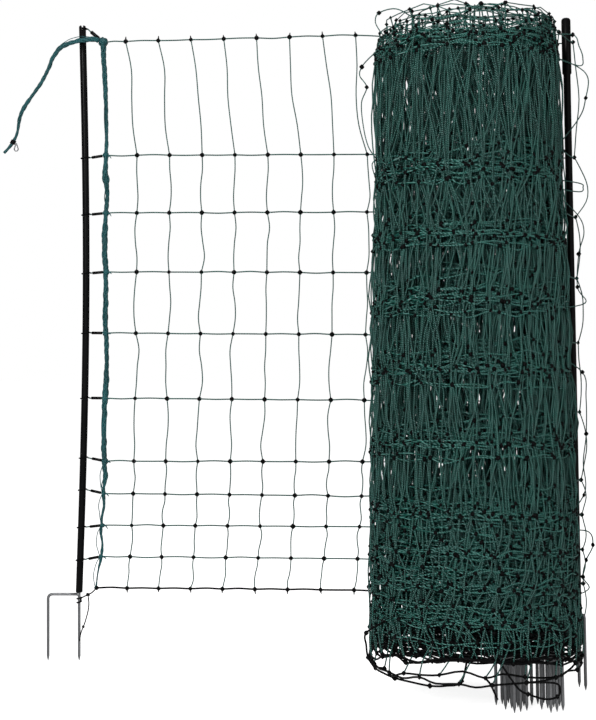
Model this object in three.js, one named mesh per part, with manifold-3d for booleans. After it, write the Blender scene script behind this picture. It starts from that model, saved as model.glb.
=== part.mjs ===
// Electric poultry netting: an end post with a stretch of net that runs into a standing roll, in millimetres, +Z up.
// X runs from the end post to the roll, and -Y is the side that the roll's spikes stand on.
import * as THREE from "three";
import { ConvexGeometry } from "three/addons/geometries/ConvexGeometry.js";
import Module from "manifold-3d";

const wasm = await Module();
wasm.setup();

// Clearances.
const GAP = 0.3; // between two pieces that touch
const SOCKET_GAP = 0.3; // round a spike's rod in its post

// Posts. Heights are above the floor, which the spikes stand on.
const POST_DIAMETER = 14;
const POST_TOP = 1288;
const POST_FOOT = 139;
const POST_BOW = 12; // how far the end post's middle stands off its foot
const CAP_DIAMETER = 18;
const CAP_LENGTH = 112;
const SLOT_WIDTH = 4;
const SLOT_DEPTH = 9;
const SOCKET_DEPTH = 34;

// Double spikes.
const ROD_DIAMETER = 6;
const PRONG_SPACING = 63;
const STEP_DROP = 1; // from a post's foot to the top of its foot step
const BEND_RADIUS = 9;
const TIP_LENGTH = 10;
const TIP_DIAMETER = 1;

// Net. Line 1 is the top line and line 11 the bottom line.
const STRAND_DIAMETER = 2.4;
const BOTTOM_LINE_DIAMETER = 3.2;
const KNOT_SIZE = 7;
const COLUMN_SPACING = 66.5;
const COLUMNS = 10;
const FIRST_COLUMN = 111; // from the end post to the first upright strand
const WAVE = 5; // how far an upright strand bows between two lines
const EDGE_DISTANCE = 585; // from the end post to where the roll hides the net
const TOP_LINE_FALL = 26; // how far the top line comes down behind the roll
// Each line's height as a share of the post's length above its foot, its rise on the way to the roll, how far its
// knots stand off the others', and how far its loop on the post stands off its height.
const LINE_PLACES = [
  { share: 0.9704, rise: 9, shift: -24, loop: 0 },
  { share: 0.7711, rise: -5, shift: 0, loop: -5 },
  { share: 0.6693, rise: -4, shift: 0, loop: -3 },
  { share: 0.5657, rise: -6, shift: 0, loop: -3 },
  { share: 0.4578, rise: -5, shift: -1, loop: 0 },
  { share: 0.3429, rise: -2, shift: -2, loop: 0 },
  { share: 0.2315, rise: 6, shift: -4, loop: 7 },
  { share: 0.1749, rise: 4, shift: -5, loop: 7 },
  { share: 0.1184, rise: 10, shift: -8, loop: -4 },
  { share: 0.0635, rise: 11, shift: -11, loop: -7 },
  { share: 0.0078, rise: 15, shift: -17, loop: 0 },
];
const LINES = LINE_PLACES.map((line) => ({
  ...line,
  height: POST_FOOT + line.share * (POST_TOP - POST_FOOT),
}));

// Sleeves that close each line's loop on the end post.
const SLEEVE_LENGTH = 22;
const SLEEVE_DIAMETER = 5.8;
const SLEEVE_BORE = 3.6;
const TOP_SLEEVE_LENGTH = 21;
const TOP_SLEEVE_DIAMETER = 7.4;

// Link cord, which is knotted to each line.
const LINK_X = [41, 47, 47.4, 48.5, 47, 46.2, 47.2, 43.5, 41.5, 38.4, 29];
const LINK_DIAMETERS = [9, 9, 9, 9, 9, 8, 6, 5, 4.5, 3];
const TOP_KNOT_DIAMETER = 22;
const LINK_KNOT_SIZE = 14;
const LINK_KNOT_EXTRA = 5; // how much wider a knot is than its cord

// Free lead at the top.
const LEAD_DIAMETER = 7;
// The lead's centre line, with heights from the top line.
const LEAD_PLACES = [
  [31.8, -8.2, 2.9],
  [25, -11, 4.3],
  [14, -12, 4],
  [5.3, -12, 2.6],
  [-4.5, -12, 1.3],
  [-13.4, -11.5, -0.7],
  [-23, -11, -2.8],
  [-31.9, -10, -5.7],
  [-44.4, -9, -12],
  [-53.8, -8, -22.4],
  [-61.5, -7, -35.2],
  [-67.8, -6, -50.4],
  [-75.9, -5, -68.3],
  [-86.3, -4, -85.4],
  [-97.2, -3, -101],
  [-108.1, -2, -115.5],
  [-118.6, -1, -130.4],
  [-125.8, 0, -144.2],
  [-129.6, 0, -158.6],
  [-131.4, 0, -172.8],
  [-134.9, 0, -187.6],
  [-142, 0, -202],
  [-150.8, 0, -213.7],
  [-160.5, 0, -224],
];
const LEAD_ROUTE = LEAD_PLACES.map(([x, y, rise]) => [x, y, LINES[0].height + rise]);
const BINDING_DIAMETER = 11.5;
const BINDING_GAP = 0.45; // round the lead, which bends a little in it
const BINDING_LENGTH = 8;
const BINDING_AFTER = 21; // the route's point where the binding sits
const LOOP_WIRE = 1.6;
const LOOP_LENGTH = 15;
const LOOP_WIDTH = 8;

// Tie at the end post's foot.
const TIE_DIAMETER = 2.8;
const TIE_KNOT = [10, -1, 134];
const TIE_KNOT_SIZE = 8;
const TIE_TURNS = [127, 119];
const TIE_TAIL_ROUTE = [
  [11, -2.2, 129.5],
  [11.7, -3.2, 124],
  [12.2, -4.1, 118],
  [12.2, -4.8, 112.4],
  [11.6, -5.2, 106.9],
  [10.8, -5.6, 101.6],
  [9.6, -6, 96.4],
  [8.2, -6.3, 91],
  [6.8, -6.5, 85.8],
  [5.2, -6.7, 80.6],
  [3.4, -6.9, 75.4],
  [1.4, -7, 70.2],
  [-0.8, -7, 64.8],
  [-2.8, -7, 59.2],
  [-4.4, -7, 53.2],
  [-5.4, -7, 47],
  [-6, -7, 41],
];

// Roll, which leans back on its spikes.
const LEAN = 8; // degrees
const ROLL_X = 752;
const ROLL_Y = -380;
const ROLL_FOOT_RADIUS = 193;
const ROLL_TOP_RADIUS = 175;
const ROLL_BOTTOM = 62;
const ROLL_TOP = 1247;
const ROLL_SIDES = 32;
const TURN_GROOVES = 6;
const GROOVE_DEPTH = 7;
const CORE_RADIUS = 40;

// Posts bundled in the roll, in chains that stand beside each other.
const CHAINS = [3, 4, 5];
const CHAIN_STEP_X = 11.9;
const CHAIN_STEP_Y = 8.6;
const BUNDLE_RIGHT = 897;
const BUNDLE_FRONT = -460;
const BUNDLE_SHORTER = 80; // how much lower than the end post's the bundled posts' tops are, inside the roll

// Post outside the roll, with the net's last turn round it.
const OUTER_X = 961;
const OUTER_Y = -250;
const OUTER_LEAN = 6.5; // degrees
const OUTER_DROP = 22; // how far the outer turn has slid down
const OUTER_WAVE = 6;

const COLOURS = {
  plastic: { color: 0x1b1c1e, roughness: 0.55, metalness: 0 },
  steel: { color: 0x9a9c9e, roughness: 0.4, metalness: 0.9 },
  net: { color: 0x1d5a4c, roughness: 0.7, metalness: 0 },
  cord: { color: 0x1f5f5c, roughness: 0.75, metalness: 0 },
  tie: { color: 0x17181a, roughness: 0.7, metalness: 0 },
};

// Routes and solids.

// A polyline whose equally spaced points are its own corners.
class Route extends THREE.Curve {
  constructor(points) {
    super();
    this.points = points;
  }

  getPoint(t, target = new THREE.Vector3()) {
    const last = this.points.length - 1;
    const i = Math.min(Math.floor(t * last + 1e-9), last - 1);
    return target.lerpVectors(this.points[i], this.points[i + 1], t * last - i);
  }

  getPointAt(t, target) {
    return this.getPoint(t, target);
  }

  getTangentAt(t, target) {
    return this.getTangent(t, target);
  }
}

const vector = ([x, y, z]) => new THREE.Vector3(x, y, z);
const radians = THREE.MathUtils.degToRad;

function toSolid(geometry) {
  const flat = geometry.index ? geometry.toNonIndexed() : geometry;
  const position = flat.getAttribute("position");
  const seen = new Map();
  const vertices = [];
  const corners = [];
  for (let i = 0; i < position.count; i++) {
    const point = [position.getX(i), position.getY(i), position.getZ(i)];
    const key = point.map((value) => Math.round(value * 1e3)).join();
    if (!seen.has(key)) {
      seen.set(key, vertices.length / 3);
      vertices.push(...point);
    }
    corners.push(seen.get(key));
  }
  const faces = [];
  for (let i = 0; i < corners.length; i += 3) {
    const [a, b, c] = corners.slice(i, i + 3);
    if (a !== b && b !== c && c !== a) faces.push(a, b, c);
  }
  const mesh = (triVerts) =>
    new wasm.Manifold(
      new wasm.Mesh({
        numProp: 3,
        vertProperties: new Float32Array(vertices),
        triVerts: new Uint32Array(triVerts),
      }),
    );
  const solid = mesh(faces);
  return solid.volume() < 0 ? mesh(faces.toReversed()) : solid;
}

function toGeometry(solid) {
  const mesh = solid.getMesh();
  const geometry = new THREE.BufferGeometry();
  geometry.setAttribute(
    "position",
    new THREE.BufferAttribute(new Float32Array(mesh.vertProperties), 3),
  );
  geometry.setIndex(new THREE.BufferAttribute(new Uint32Array(mesh.triVerts), 1));
  geometry.computeVertexNormals();
  return geometry;
}

const union = (solids) => wasm.Manifold.union(solids);

function ringShape(diameter, sides) {
  const corners = [];
  for (let i = 0; i < sides; i++) {
    const angle = ((i + 0.5) / sides) * 2 * Math.PI;
    corners.push(
      new THREE.Vector2(
        (Math.cos(angle) * diameter) / 2,
        (Math.sin(angle) * diameter) / 2,
      ),
    );
  }
  return new THREE.Shape(corners);
}

// A round bar through every one of the given points.
function bar(points, diameter, sides) {
  const route = new Route(points.map((p) => (p.isVector3 ? p : vector(p))));
  return toSolid(
    new THREE.ExtrudeGeometry(ringShape(diameter, sides), {
      steps: points.length - 1,
      bevelEnabled: false,
      extrudePath: route,
    }),
  );
}

// A round bar along a smooth curve through the given points.
function smoothBar(points, diameter, sides, steps) {
  const curve = new THREE.CatmullRomCurve3(
    points.map((p) => (p.isVector3 ? p : vector(p))),
  );
  return toSolid(
    new THREE.ExtrudeGeometry(ringShape(diameter, sides), {
      steps,
      bevelEnabled: false,
      extrudePath: curve,
    }),
  );
}

// A turned solid that stands on Z, from its profile of [radius, height] points.
function turned(profile, sides) {
  const geometry = new THREE.LatheGeometry(
    profile.map(([radius, height]) => new THREE.Vector2(radius, height)),
    sides,
  );
  geometry.rotateX(Math.PI / 2);
  return toSolid(geometry);
}

const knot = (centre, size) =>
  toSolid(new THREE.BoxGeometry(size, size, size)).translate(
    centre.isVector3 ? centre.toArray() : centre,
  );

// A closed ring of straight pieces round Z that keeps its clearance all round.
function loop(centre, innerRadius, diameter, segments, sides) {
  const radius = (innerRadius + diameter / 2) / Math.cos(Math.PI / segments);
  return toSolid(
    new THREE.TorusGeometry(radius, diameter / 2, sides, segments),
  ).translate(centre);
}

// Posts.

// The end post's centre line, from its foot to its top.
function endPostX(height) {
  const share = (height - POST_FOOT) / (POST_TOP - POST_FOOT);
  return -8 + POST_BOW * Math.sin(Math.PI * Math.min(share * 0.93, 1)) + 4 * share;
}

function endPost() {
  const points = [];
  for (let i = 0; i <= 6; i++) {
    const height = THREE.MathUtils.lerp(POST_FOOT, POST_TOP, i / 6);
    points.push([endPostX(height), 0, height]);
  }
  const socket = turned(
    [
      [0, -1],
      [ROD_DIAMETER / 2 + SOCKET_GAP, -1],
      [ROD_DIAMETER / 2 + SOCKET_GAP, SOCKET_DEPTH],
      [0, SOCKET_DEPTH],
    ],
    8,
  ).translate([endPostX(POST_FOOT), 0, POST_FOOT]);
  const slot = toSolid(
    new THREE.BoxGeometry(SLOT_WIDTH, POST_DIAMETER * 2, SLOT_DEPTH * 2),
  ).translate([endPostX(POST_TOP), 0, POST_TOP]);
  return bar(points, POST_DIAMETER, 12).subtract(socket).subtract(slot);
}

// A capped post that stands on Z with its socket in its foot.
function cappedPost() {
  const socketRadius = ROD_DIAMETER / 2 + SOCKET_GAP;
  const radius = POST_DIAMETER / 2;
  const capRadius = CAP_DIAMETER / 2;
  return turned(
    [
      [0, POST_FOOT + SOCKET_DEPTH],
      [socketRadius, POST_FOOT + SOCKET_DEPTH],
      [socketRadius, POST_FOOT],
      [radius, POST_FOOT],
      [radius, POST_TOP - CAP_LENGTH],
      [capRadius, POST_TOP - CAP_LENGTH],
      [capRadius, POST_TOP - 3],
      [capRadius - 3, POST_TOP],
      [0, POST_TOP],
    ],
    8,
  );
}

// A plain post for the bundle, whose top stands down inside the roll.
function bundlePost() {
  const socketRadius = ROD_DIAMETER / 2 + SOCKET_GAP;
  const radius = POST_DIAMETER / 2;
  const top = POST_TOP - BUNDLE_SHORTER;
  return turned(
    [
      [0, POST_FOOT + SOCKET_DEPTH],
      [socketRadius, POST_FOOT + SOCKET_DEPTH],
      [socketRadius, POST_FOOT],
      [radius, POST_FOOT],
      [radius, top - 3],
      [radius - 3, top],
      [0, top],
    ],
    8,
  );
}

// Double spikes.

// A double spike with its straight prong on Z and its foot step towards -X.
function doubleSpike() {
  const radius = ROD_DIAMETER / 2;
  const stepHeight = POST_FOOT - STEP_DROP - radius;
  const straight = turned(
    [
      [0, 0],
      [TIP_DIAMETER / 2, 0],
      [radius, TIP_LENGTH],
      [radius, POST_FOOT + SOCKET_DEPTH - 2],
      [0, POST_FOOT + SOCKET_DEPTH - 2],
    ],
    6,
  );
  const side = -PRONG_SPACING;
  const bend = (angle) => [
    side + BEND_RADIUS * (1 - Math.sin(angle)),
    0,
    stepHeight - BEND_RADIUS * (1 - Math.cos(angle)),
  ];
  const step = bar(
    [
      [0, 0, stepHeight],
      bend(0),
      bend(Math.PI / 4),
      bend(Math.PI / 2),
      [side, 0, TIP_LENGTH],
    ],
    ROD_DIAMETER,
    6,
  );
  const tip = turned(
    [
      [0, 0],
      [TIP_DIAMETER / 2, 0],
      [radius * 0.98, TIP_LENGTH],
      [radius * 0.98, TIP_LENGTH + 1],
      [0, TIP_LENGTH + 1],
    ],
    6,
  ).translate([side, 0, 0]);
  return union([straight, step, tip]);
}

// Roll.

const rollRadius = (height) =>
  THREE.MathUtils.mapLinear(
    height,
    ROLL_BOTTOM,
    ROLL_TOP,
    ROLL_FOOT_RADIUS,
    ROLL_TOP_RADIUS,
  );

// One end of the roll's profile, where each turn stands up as a ridge.
function endProfile(height, radius, inward) {
  const points = [];
  for (let i = 0; i < TURN_GROOVES; i++) {
    const inner = THREE.MathUtils.lerp(CORE_RADIUS, radius, i / TURN_GROOVES);
    const outer = THREE.MathUtils.lerp(CORE_RADIUS, radius, (i + 0.8) / TURN_GROOVES);
    points.push([inner, height + inward * GROOVE_DEPTH]);
    points.push([outer, height]);
  }
  return points;
}

// The roll's turned outline about Z, grown by a clearance.
function rollBody(grow) {
  const bottom = endProfile(ROLL_BOTTOM - grow, ROLL_FOOT_RADIUS, 1);
  const top = endProfile(ROLL_TOP + grow, ROLL_TOP_RADIUS, -1).reverse();
  return turned(
    [
      [0, ROLL_BOTTOM + GROOVE_DEPTH - grow],
      ...bottom,
      [ROLL_FOOT_RADIUS + grow, ROLL_BOTTOM + 12],
      [ROLL_TOP_RADIUS + grow, ROLL_TOP - 12],
      ...top,
      [0, ROLL_TOP - GROOVE_DEPTH + grow],
    ],
    ROLL_SIDES,
  );
}

// Where each bundled post stands, about the roll's axis.
function bundlePlaces() {
  const places = [];
  let front = BUNDLE_FRONT;
  for (const count of CHAINS) {
    for (let i = 0; i < count; i++) {
      const fromRight = count - 1 - i;
      places.push([
        BUNDLE_RIGHT - CHAIN_STEP_X * fromRight - ROLL_X,
        front + CHAIN_STEP_Y * i - ROLL_Y,
      ]);
    }
    front += CHAIN_STEP_Y * count;
  }
  return places;
}

// The bore that the bundle stands in, wrapped closely round its posts and prongs.
function rollBore() {
  const corners = [];
  const wrap = (x, y, radius) => {
    for (let i = 0; i < 8; i++) {
      const angle = (i * Math.PI) / 4;
      const reach = (radius + GAP) / Math.cos(Math.PI / 8);
      for (const z of [0, ROLL_TOP + ROLL_BOTTOM])
        corners.push(vector([x + reach * Math.cos(angle), y + reach * Math.sin(angle), z]));
    }
  };
  for (const [x, y] of bundlePlaces()) {
    wrap(x, y, POST_DIAMETER / 2);
    wrap(x - PRONG_SPACING, y, ROD_DIAMETER / 2);
  }
  return toSolid(new ConvexGeometry(corners));
}

const leanSlope = Math.tan(radians(LEAN));

// A solid drawn about the roll's upright axis, pushed over so that its ends stay level.
const leaned = (solid) =>
  solid.transform(new THREE.Matrix4().makeShear(0, 0, 0, 0, 0, leanSlope).elements);

const rollAxisY = (height) => ROLL_Y + height * leanSlope;

// Net.

// Where a line from a point touches a circle about the roll's axis, on its left or its right.
function touchPoint(from, height, radius, side) {
  const dx = ROLL_X - from[0];
  const dy = rollAxisY(height) - from[1];
  const distance = Math.hypot(dx, dy);
  const angle = Math.atan2(dy, dx) + side * Math.asin(radius / distance);
  const reach = Math.sqrt(distance ** 2 - radius ** 2);
  return [
    from[0] + reach * Math.cos(angle),
    from[1] + reach * Math.sin(angle),
    height,
  ];
}

const INTO_ROLL = 12; // how far a line would run into the roll, where it is cut off at its face

// The room that the roll takes, with its clearance.
const rollRoom = () => leaned(rollBody(GAP)).translate([ROLL_X, ROLL_Y, 0]);

function lineDirection(line) {
  const end = touchPoint(
    [0, 0],
    line.height,
    rollRadius(line.height) - INTO_ROLL,
    1,
  );
  const length = Math.hypot(end[0], end[1]);
  return { x: end[0] / length, y: end[1] / length, length };
}

function onLine(line, distance) {
  const direction = lineDirection(line);
  const behind = (distance - EDGE_DISTANCE) / (direction.length - EDGE_DISTANCE);
  return [
    distance * direction.x,
    distance * direction.y,
    line.height +
      line.rise * Math.min(distance / EDGE_DISTANCE, 1) -
      (isTop(line) ? TOP_LINE_FALL * Math.max(behind, 0) : 0),
  ];
}

const columnAt = (line, column) =>
  column === 0
    ? LINK_X[LINES.indexOf(line)]
    : FIRST_COLUMN + COLUMN_SPACING * (column - 1) + line.shift;

const knotAt = (line, column) => onLine(line, columnAt(line, column));

const isTop = (line) => line === LINES[0];
const isBottom = (line) => line === LINES.at(-1);
const lineDiameter = (line) =>
  isBottom(line) ? BOTTOM_LINE_DIAMETER : STRAND_DIAMETER;

// Where a line leaves its loop on the end post, on the way to the link cord.
function loopEnd(line) {
  if (isTop(line)) return [9.4, 0, POST_TOP - SLOT_DEPTH + 2.4];
  const height = line.height + line.loop;
  return [endPostX(height) + POST_DIAMETER / 2 + GAP + STRAND_DIAMETER / 2, 0, height];
}

// The top line's loop, through the slot and round one side of the post's top.
function topLoop(grow) {
  const height = POST_TOP - SLOT_DEPTH + STRAND_DIAMETER / 2 + GAP + 1.5;
  const x = endPostX(POST_TOP);
  const y = POST_DIAMETER / 2 + GAP + STRAND_DIAMETER / 2;
  const corners = [
    loopEnd(LINES[0]),
    [x + 6, -y, height],
    [x, -y, height],
    [x, y, height],
    [x + 6, y, height],
    loopEnd(LINES[0]),
  ];
  const joint = knot(corners[0], STRAND_DIAMETER * 1.3);
  return union([
    bar(corners.slice(0, 4), STRAND_DIAMETER + grow, 4),
    bar(corners.slice(3), STRAND_DIAMETER + grow, 4),
    knot(corners[3], STRAND_DIAMETER * 1.2 + grow),
    joint,
  ]);
}

// A line's run from its loop, or from its first knot, to the roll.
function lineRun(line, grow = 0) {
  const points = isBottom(line) ? [] : [loopEnd(line)];
  for (let column = 0; column <= COLUMNS; column++) {
    const point = knotAt(line, column);
    if (column === 0 || columnAt(line, column) < lineDirection(line).length - 4)
      points.push(point);
  }
  points.push(onLine(line, lineDirection(line).length));
  return bar(points, lineDiameter(line) + grow, 4);
}

function uprightRun(column, upper, lower) {
  const top = vector(knotAt(upper, column));
  const bottom = vector(knotAt(lower, column));
  const points = [top];
  if (top.z - bottom.z > COLUMN_SPACING * 1.3) {
    const middle = top.clone().lerp(bottom, 0.5);
    const share = Math.sin(2.4 * column + 3.9 * LINES.indexOf(upper));
    points.push(middle.add(new THREE.Vector3(WAVE * share, WAVE * share * 0.3, 0)));
  }
  points.push(bottom);
  return bar(points, STRAND_DIAMETER, 3);
}

function netPanel() {
  const parts = LINES.map((line) => lineRun(line));
  for (const line of LINES.slice(1, -1)) {
    const height = line.height + line.loop;
    const centre = [endPostX(height), 0, height];
    parts.push(loop(centre, POST_DIAMETER / 2 + GAP, STRAND_DIAMETER, 8, 4));
  }
  parts.push(topLoop(0));
  parts.push(knot(knotAt(LINES.at(-1), 0), KNOT_SIZE));
  for (let column = 1; column <= COLUMNS; column++) {
    LINES.forEach((line, i) => {
      parts.push(knot(knotAt(line, column), KNOT_SIZE));
      if (i > 0) parts.push(uprightRun(column, LINES[i - 1], line));
    });
  }
  return union(parts).subtract(rollRoom());
}

// The size of the link cord's knot on a line.
function linkKnotSize(line) {
  if (isTop(line)) return TOP_KNOT_DIAMETER;
  const above = LINK_DIAMETERS[LINES.indexOf(line) - 1];
  return Math.min(LINK_KNOT_SIZE, above + LINK_KNOT_EXTRA);
}

// A sleeve on its line, between the loop and the link cord's knot.
function lineSleeve(line) {
  const from = vector(loopEnd(line));
  const to = vector(knotAt(line, 0));
  const along = to.clone().sub(from).normalize();
  const free = from.distanceTo(to) - linkKnotSize(line) / 2 - GAP;
  const length = isTop(line) ? TOP_SLEEVE_LENGTH : SLEEVE_LENGTH;
  const end = from.clone().addScaledVector(along, free);
  const start = end.clone().addScaledVector(along, -Math.min(length, free - GAP));
  const diameter = isTop(line) ? TOP_SLEEVE_DIAMETER : SLEEVE_DIAMETER;
  const bore = bar(
    [start.clone().sub(along), end.clone().add(along)],
    SLEEVE_BORE,
    6,
  );
  return bar([start, end], diameter, 8).subtract(bore);
}

// Link cord, lead and tie.

// The room that the bottom line's first knot takes in the cords that end on it.
const cordKnotRoom = () => knot(knotAt(LINES.at(-1), 0), KNOT_SIZE + 2 * GAP);

function linkCord() {
  const nodes = LINES.map((line) => vector(knotAt(line, 0)));
  const parts = [];
  LINK_DIAMETERS.forEach((diameter, i) => {
    const bottom = nodes[i + 1];
    const middle = nodes[i].clone().lerp(bottom, 0.5);
    middle.x += i === 0 ? 4 : Math.sin(2 * i);
    parts.push(bar([nodes[i], middle, bottom], diameter, 8));
  });
  parts.push(
    toSolid(new THREE.IcosahedronGeometry(TOP_KNOT_DIAMETER / 2, 1)).translate(
      nodes[0].toArray(),
    ),
  );
  LINES.slice(1, -1).forEach((line, i) => {
    const ball = new THREE.IcosahedronGeometry(linkKnotSize(line) / 2, 0);
    parts.push(toSolid(ball).translate(nodes[i + 1].toArray()));
  });
  const holes = LINES.slice(0, -1).map((line) => lineRun(line, 2 * GAP + 0.2));
  return union(parts).subtract(union([...holes, cordKnotRoom()]));
}

function leadTail() {
  return smoothBar(LEAD_ROUTE, LEAD_DIAMETER, 8, 24);
}

// The direction of the lead where its binding sits.
function bindingFrame() {
  const at = vector(LEAD_ROUTE[BINDING_AFTER]);
  const before = vector(LEAD_ROUTE[BINDING_AFTER - 1]);
  const along = vector(LEAD_ROUTE[BINDING_AFTER + 1]).sub(before).normalize();
  return { at, along };
}

function leadBinding() {
  const { at, along } = bindingFrame();
  const half = BINDING_LENGTH / 2;
  const ends = (extra) => [
    at.clone().addScaledVector(along, -half - extra),
    at.clone().addScaledVector(along, half + extra),
  ];
  const bore = LEAD_DIAMETER / Math.cos(Math.PI / 8) + 2 * BINDING_GAP;
  return bar(ends(0), BINDING_DIAMETER, 10).subtract(bar(ends(2), bore, 8));
}

// A small drop-shaped wire loop that hangs from under the binding.
function leadWireLoop() {
  const { at, along } = bindingFrame();
  const side = new THREE.Vector3(-along.z, 0, along.x);
  const root = at
    .clone()
    .addScaledVector(along, -1)
    .addScaledVector(side, BINDING_DIAMETER / 2 + GAP + LOOP_WIRE / 2);
  const point = (x, z) => [root.x + x, root.y, root.z + z];
  const half = LOOP_WIDTH / 2;
  const left = [
    point(0, 0),
    point(-half * 0.6, -LOOP_LENGTH * 0.45),
    point(-half, -LOOP_LENGTH * 0.75),
    point(0, -LOOP_LENGTH),
  ];
  const right = [
    point(0, 0),
    point(half * 0.6, -LOOP_LENGTH * 0.45),
    point(half, -LOOP_LENGTH * 0.75),
    point(0, -LOOP_LENGTH),
  ];
  return union([
    bar(left, LOOP_WIRE, 6),
    bar(right, LOOP_WIRE, 6),
    knot(left.at(-1), LOOP_WIRE * 1.2),
  ]);
}

function footTie() {
  const prongX = endPostX(POST_FOOT);
  const inner = ROD_DIAMETER / 2 + GAP;
  const turns = TIE_TURNS.map((height) =>
    loop([prongX, 0, height], inner, TIE_DIAMETER, 8, 6),
  );
  const reach = inner + TIE_DIAMETER / 2;
  const side = TIE_TURNS.map((height) => [prongX + reach, 0, height]);
  return union([
    ...turns,
    bar([...side.toReversed(), TIE_KNOT], TIE_DIAMETER, 6),
    knot(TIE_KNOT, TIE_KNOT_SIZE),
    bar([TIE_KNOT, knotAt(LINES.at(-1), 0)], TIE_DIAMETER, 6),
  ]).subtract(cordKnotRoom());
}

function footTieTail() {
  return smoothBar(TIE_TAIL_ROUTE, TIE_DIAMETER, 8, 18);
}

// Outer post and the net's last turn round it.

const outerY = (height) => OUTER_Y + height * Math.tan(radians(OUTER_LEAN));

// One line of the outer turn: from the roll's front, round the outer post and back to the roll.
function outerRun(line) {
  const height = line.height - OUTER_DROP;
  const postY = outerY(height);
  const postRadius =
    (height > POST_TOP - CAP_LENGTH - 20 ? CAP_DIAMETER : POST_DIAMETER) / 2;
  const reach = postRadius + GAP + lineDiameter(line) / 2 + 0.1;
  const corner = (angle) => [
    OUTER_X + (reach / Math.cos(Math.PI / 8)) * Math.cos(angle),
    postY + (reach / Math.cos(Math.PI / 8)) * Math.sin(angle),
    height,
  ];
  const round = [-0.375, -0.125, 0.125, 0.375, 0.625].map((turn) =>
    corner(turn * Math.PI),
  );
  const radius = rollRadius(height) - INTO_ROLL;
  const front = touchPoint(round[0], height, radius, 1);
  const back = touchPoint(round.at(-1), height, radius, -1);
  return { front, round, back };
}

function outerTurn() {
  const runs = LINES.map(outerRun);
  const parts = [];
  LINES.forEach((line, i) => {
    const { front, round, back } = runs[i];
    const middle = vector(front).lerp(vector(round[0]), 0.45);
    const side = vector(round[1]).lerp(vector(round[2]), 0.5);
    parts.push(bar([front, middle, ...round, back], lineDiameter(line), 4));
    parts.push(knot(side.clone().add(new THREE.Vector3(2.4, 0, 0)), KNOT_SIZE * 0.8));
    parts.push(knot(middle, KNOT_SIZE));
    runs[i].columns = [middle, side.add(new THREE.Vector3(2.4, 0, 0))];
    if (i === 0) return;
    runs[i].columns.forEach((bottom, column) => {
      const top = runs[i - 1].columns[column];
      const bow = top.clone().lerp(bottom, 0.5);
      bow.x += column === 1 ? OUTER_WAVE : 0;
      parts.push(bar([top, bow, bottom], STRAND_DIAMETER, 3));
    });
  });
  const post = cappedPost()
    .rotate([-OUTER_LEAN, 0, 0])
    .translate([OUTER_X, OUTER_Y, 0]);
  return union(parts).subtract(rollRoom()).subtract(post);
}

// Scene graph.

function mesh(name, solid, look) {
  const made = new THREE.Mesh(
    toGeometry(solid),
    new THREE.MeshStandardMaterial(COLOURS[look]),
  );
  made.name = name;
  return made;
}

const number = (i) => String(i).padStart(2, "0");

function endAssembly() {
  const group = new THREE.Group();
  group.add(mesh("end_post", endPost(), "plastic"));
  const spike = mesh("end_spike", doubleSpike(), "steel");
  spike.position.x = endPostX(POST_FOOT);
  group.add(spike);
  LINES.slice(0, -1).forEach((line, i) => {
    group.add(mesh("line_sleeve_" + number(i + 1), lineSleeve(line), "plastic"));
  });
  group.add(mesh("link_cord", linkCord(), "cord"));
  group.add(mesh("lead_tail", leadTail(), "cord"));
  group.add(mesh("lead_binding", leadBinding(), "tie"));
  group.add(mesh("lead_wire_loop", leadWireLoop(), "steel"));
  group.add(mesh("foot_tie", footTie(), "tie"));
  group.add(mesh("foot_tie_tail", footTieTail(), "tie"));
  return group;
}

// The roll and the bundle in its bore. Each post leans about its own foot.
function rollAssembly() {
  const group = new THREE.Group();
  group.position.set(ROLL_X, ROLL_Y, 0);
  group.add(mesh("net_roll", leaned(rollBody(0).subtract(rollBore())), "net"));
  bundlePlaces().forEach(([x, y], i) => {
    const leaning = new THREE.Group();
    leaning.position.set(x, y, 0);
    leaning.rotation.x = radians(-LEAN);
    leaning.add(mesh("post_" + number(i + 2), bundlePost(), "plastic"));
    leaning.add(mesh("spike_" + number(i + 2), doubleSpike(), "steel"));
    group.add(leaning);
  });
  return group;
}

function outerAssembly() {
  const group = new THREE.Group();
  const last = number(CHAINS.reduce((sum, count) => sum + count, 2));
  const post = mesh("post_" + last, cappedPost(), "plastic");
  const spike = mesh("spike_" + last, doubleSpike(), "steel");
  spike.rotation.z = Math.PI / 2;
  const leaning = new THREE.Group();
  leaning.position.set(OUTER_X, OUTER_Y, 0);
  leaning.rotation.x = radians(-OUTER_LEAN);
  leaning.add(post, spike);
  group.add(leaning, mesh("net_outer_turn", outerTurn(), "net"));
  return group;
}

// Sets the part on the floor with its middle on the origin, as measured without its free cords.
function centred(group) {
  group.updateMatrixWorld(true);
  const free = ["lead_tail", "lead_binding", "lead_wire_loop", "foot_tie_tail"];
  const box = new THREE.Box3();
  group.traverse((piece) => {
    if (piece.isMesh && !free.includes(piece.name)) box.expandByObject(piece, true);
  });
  const middle = box.getCenter(new THREE.Vector3());
  group.position.set(-middle.x, -middle.y, -box.min.z);
  return group;
}

const netting = new THREE.Group();
netting.name = "electric_poultry_netting";
netting.add(endAssembly());
netting.add(mesh("net_panel", netPanel(), "net"));
netting.add(rollAssembly());
netting.add(outerAssembly());

export default centred(netting);
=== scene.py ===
"""Electric poultry netting: a stretch of net between its end post and the standing roll."""

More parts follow.
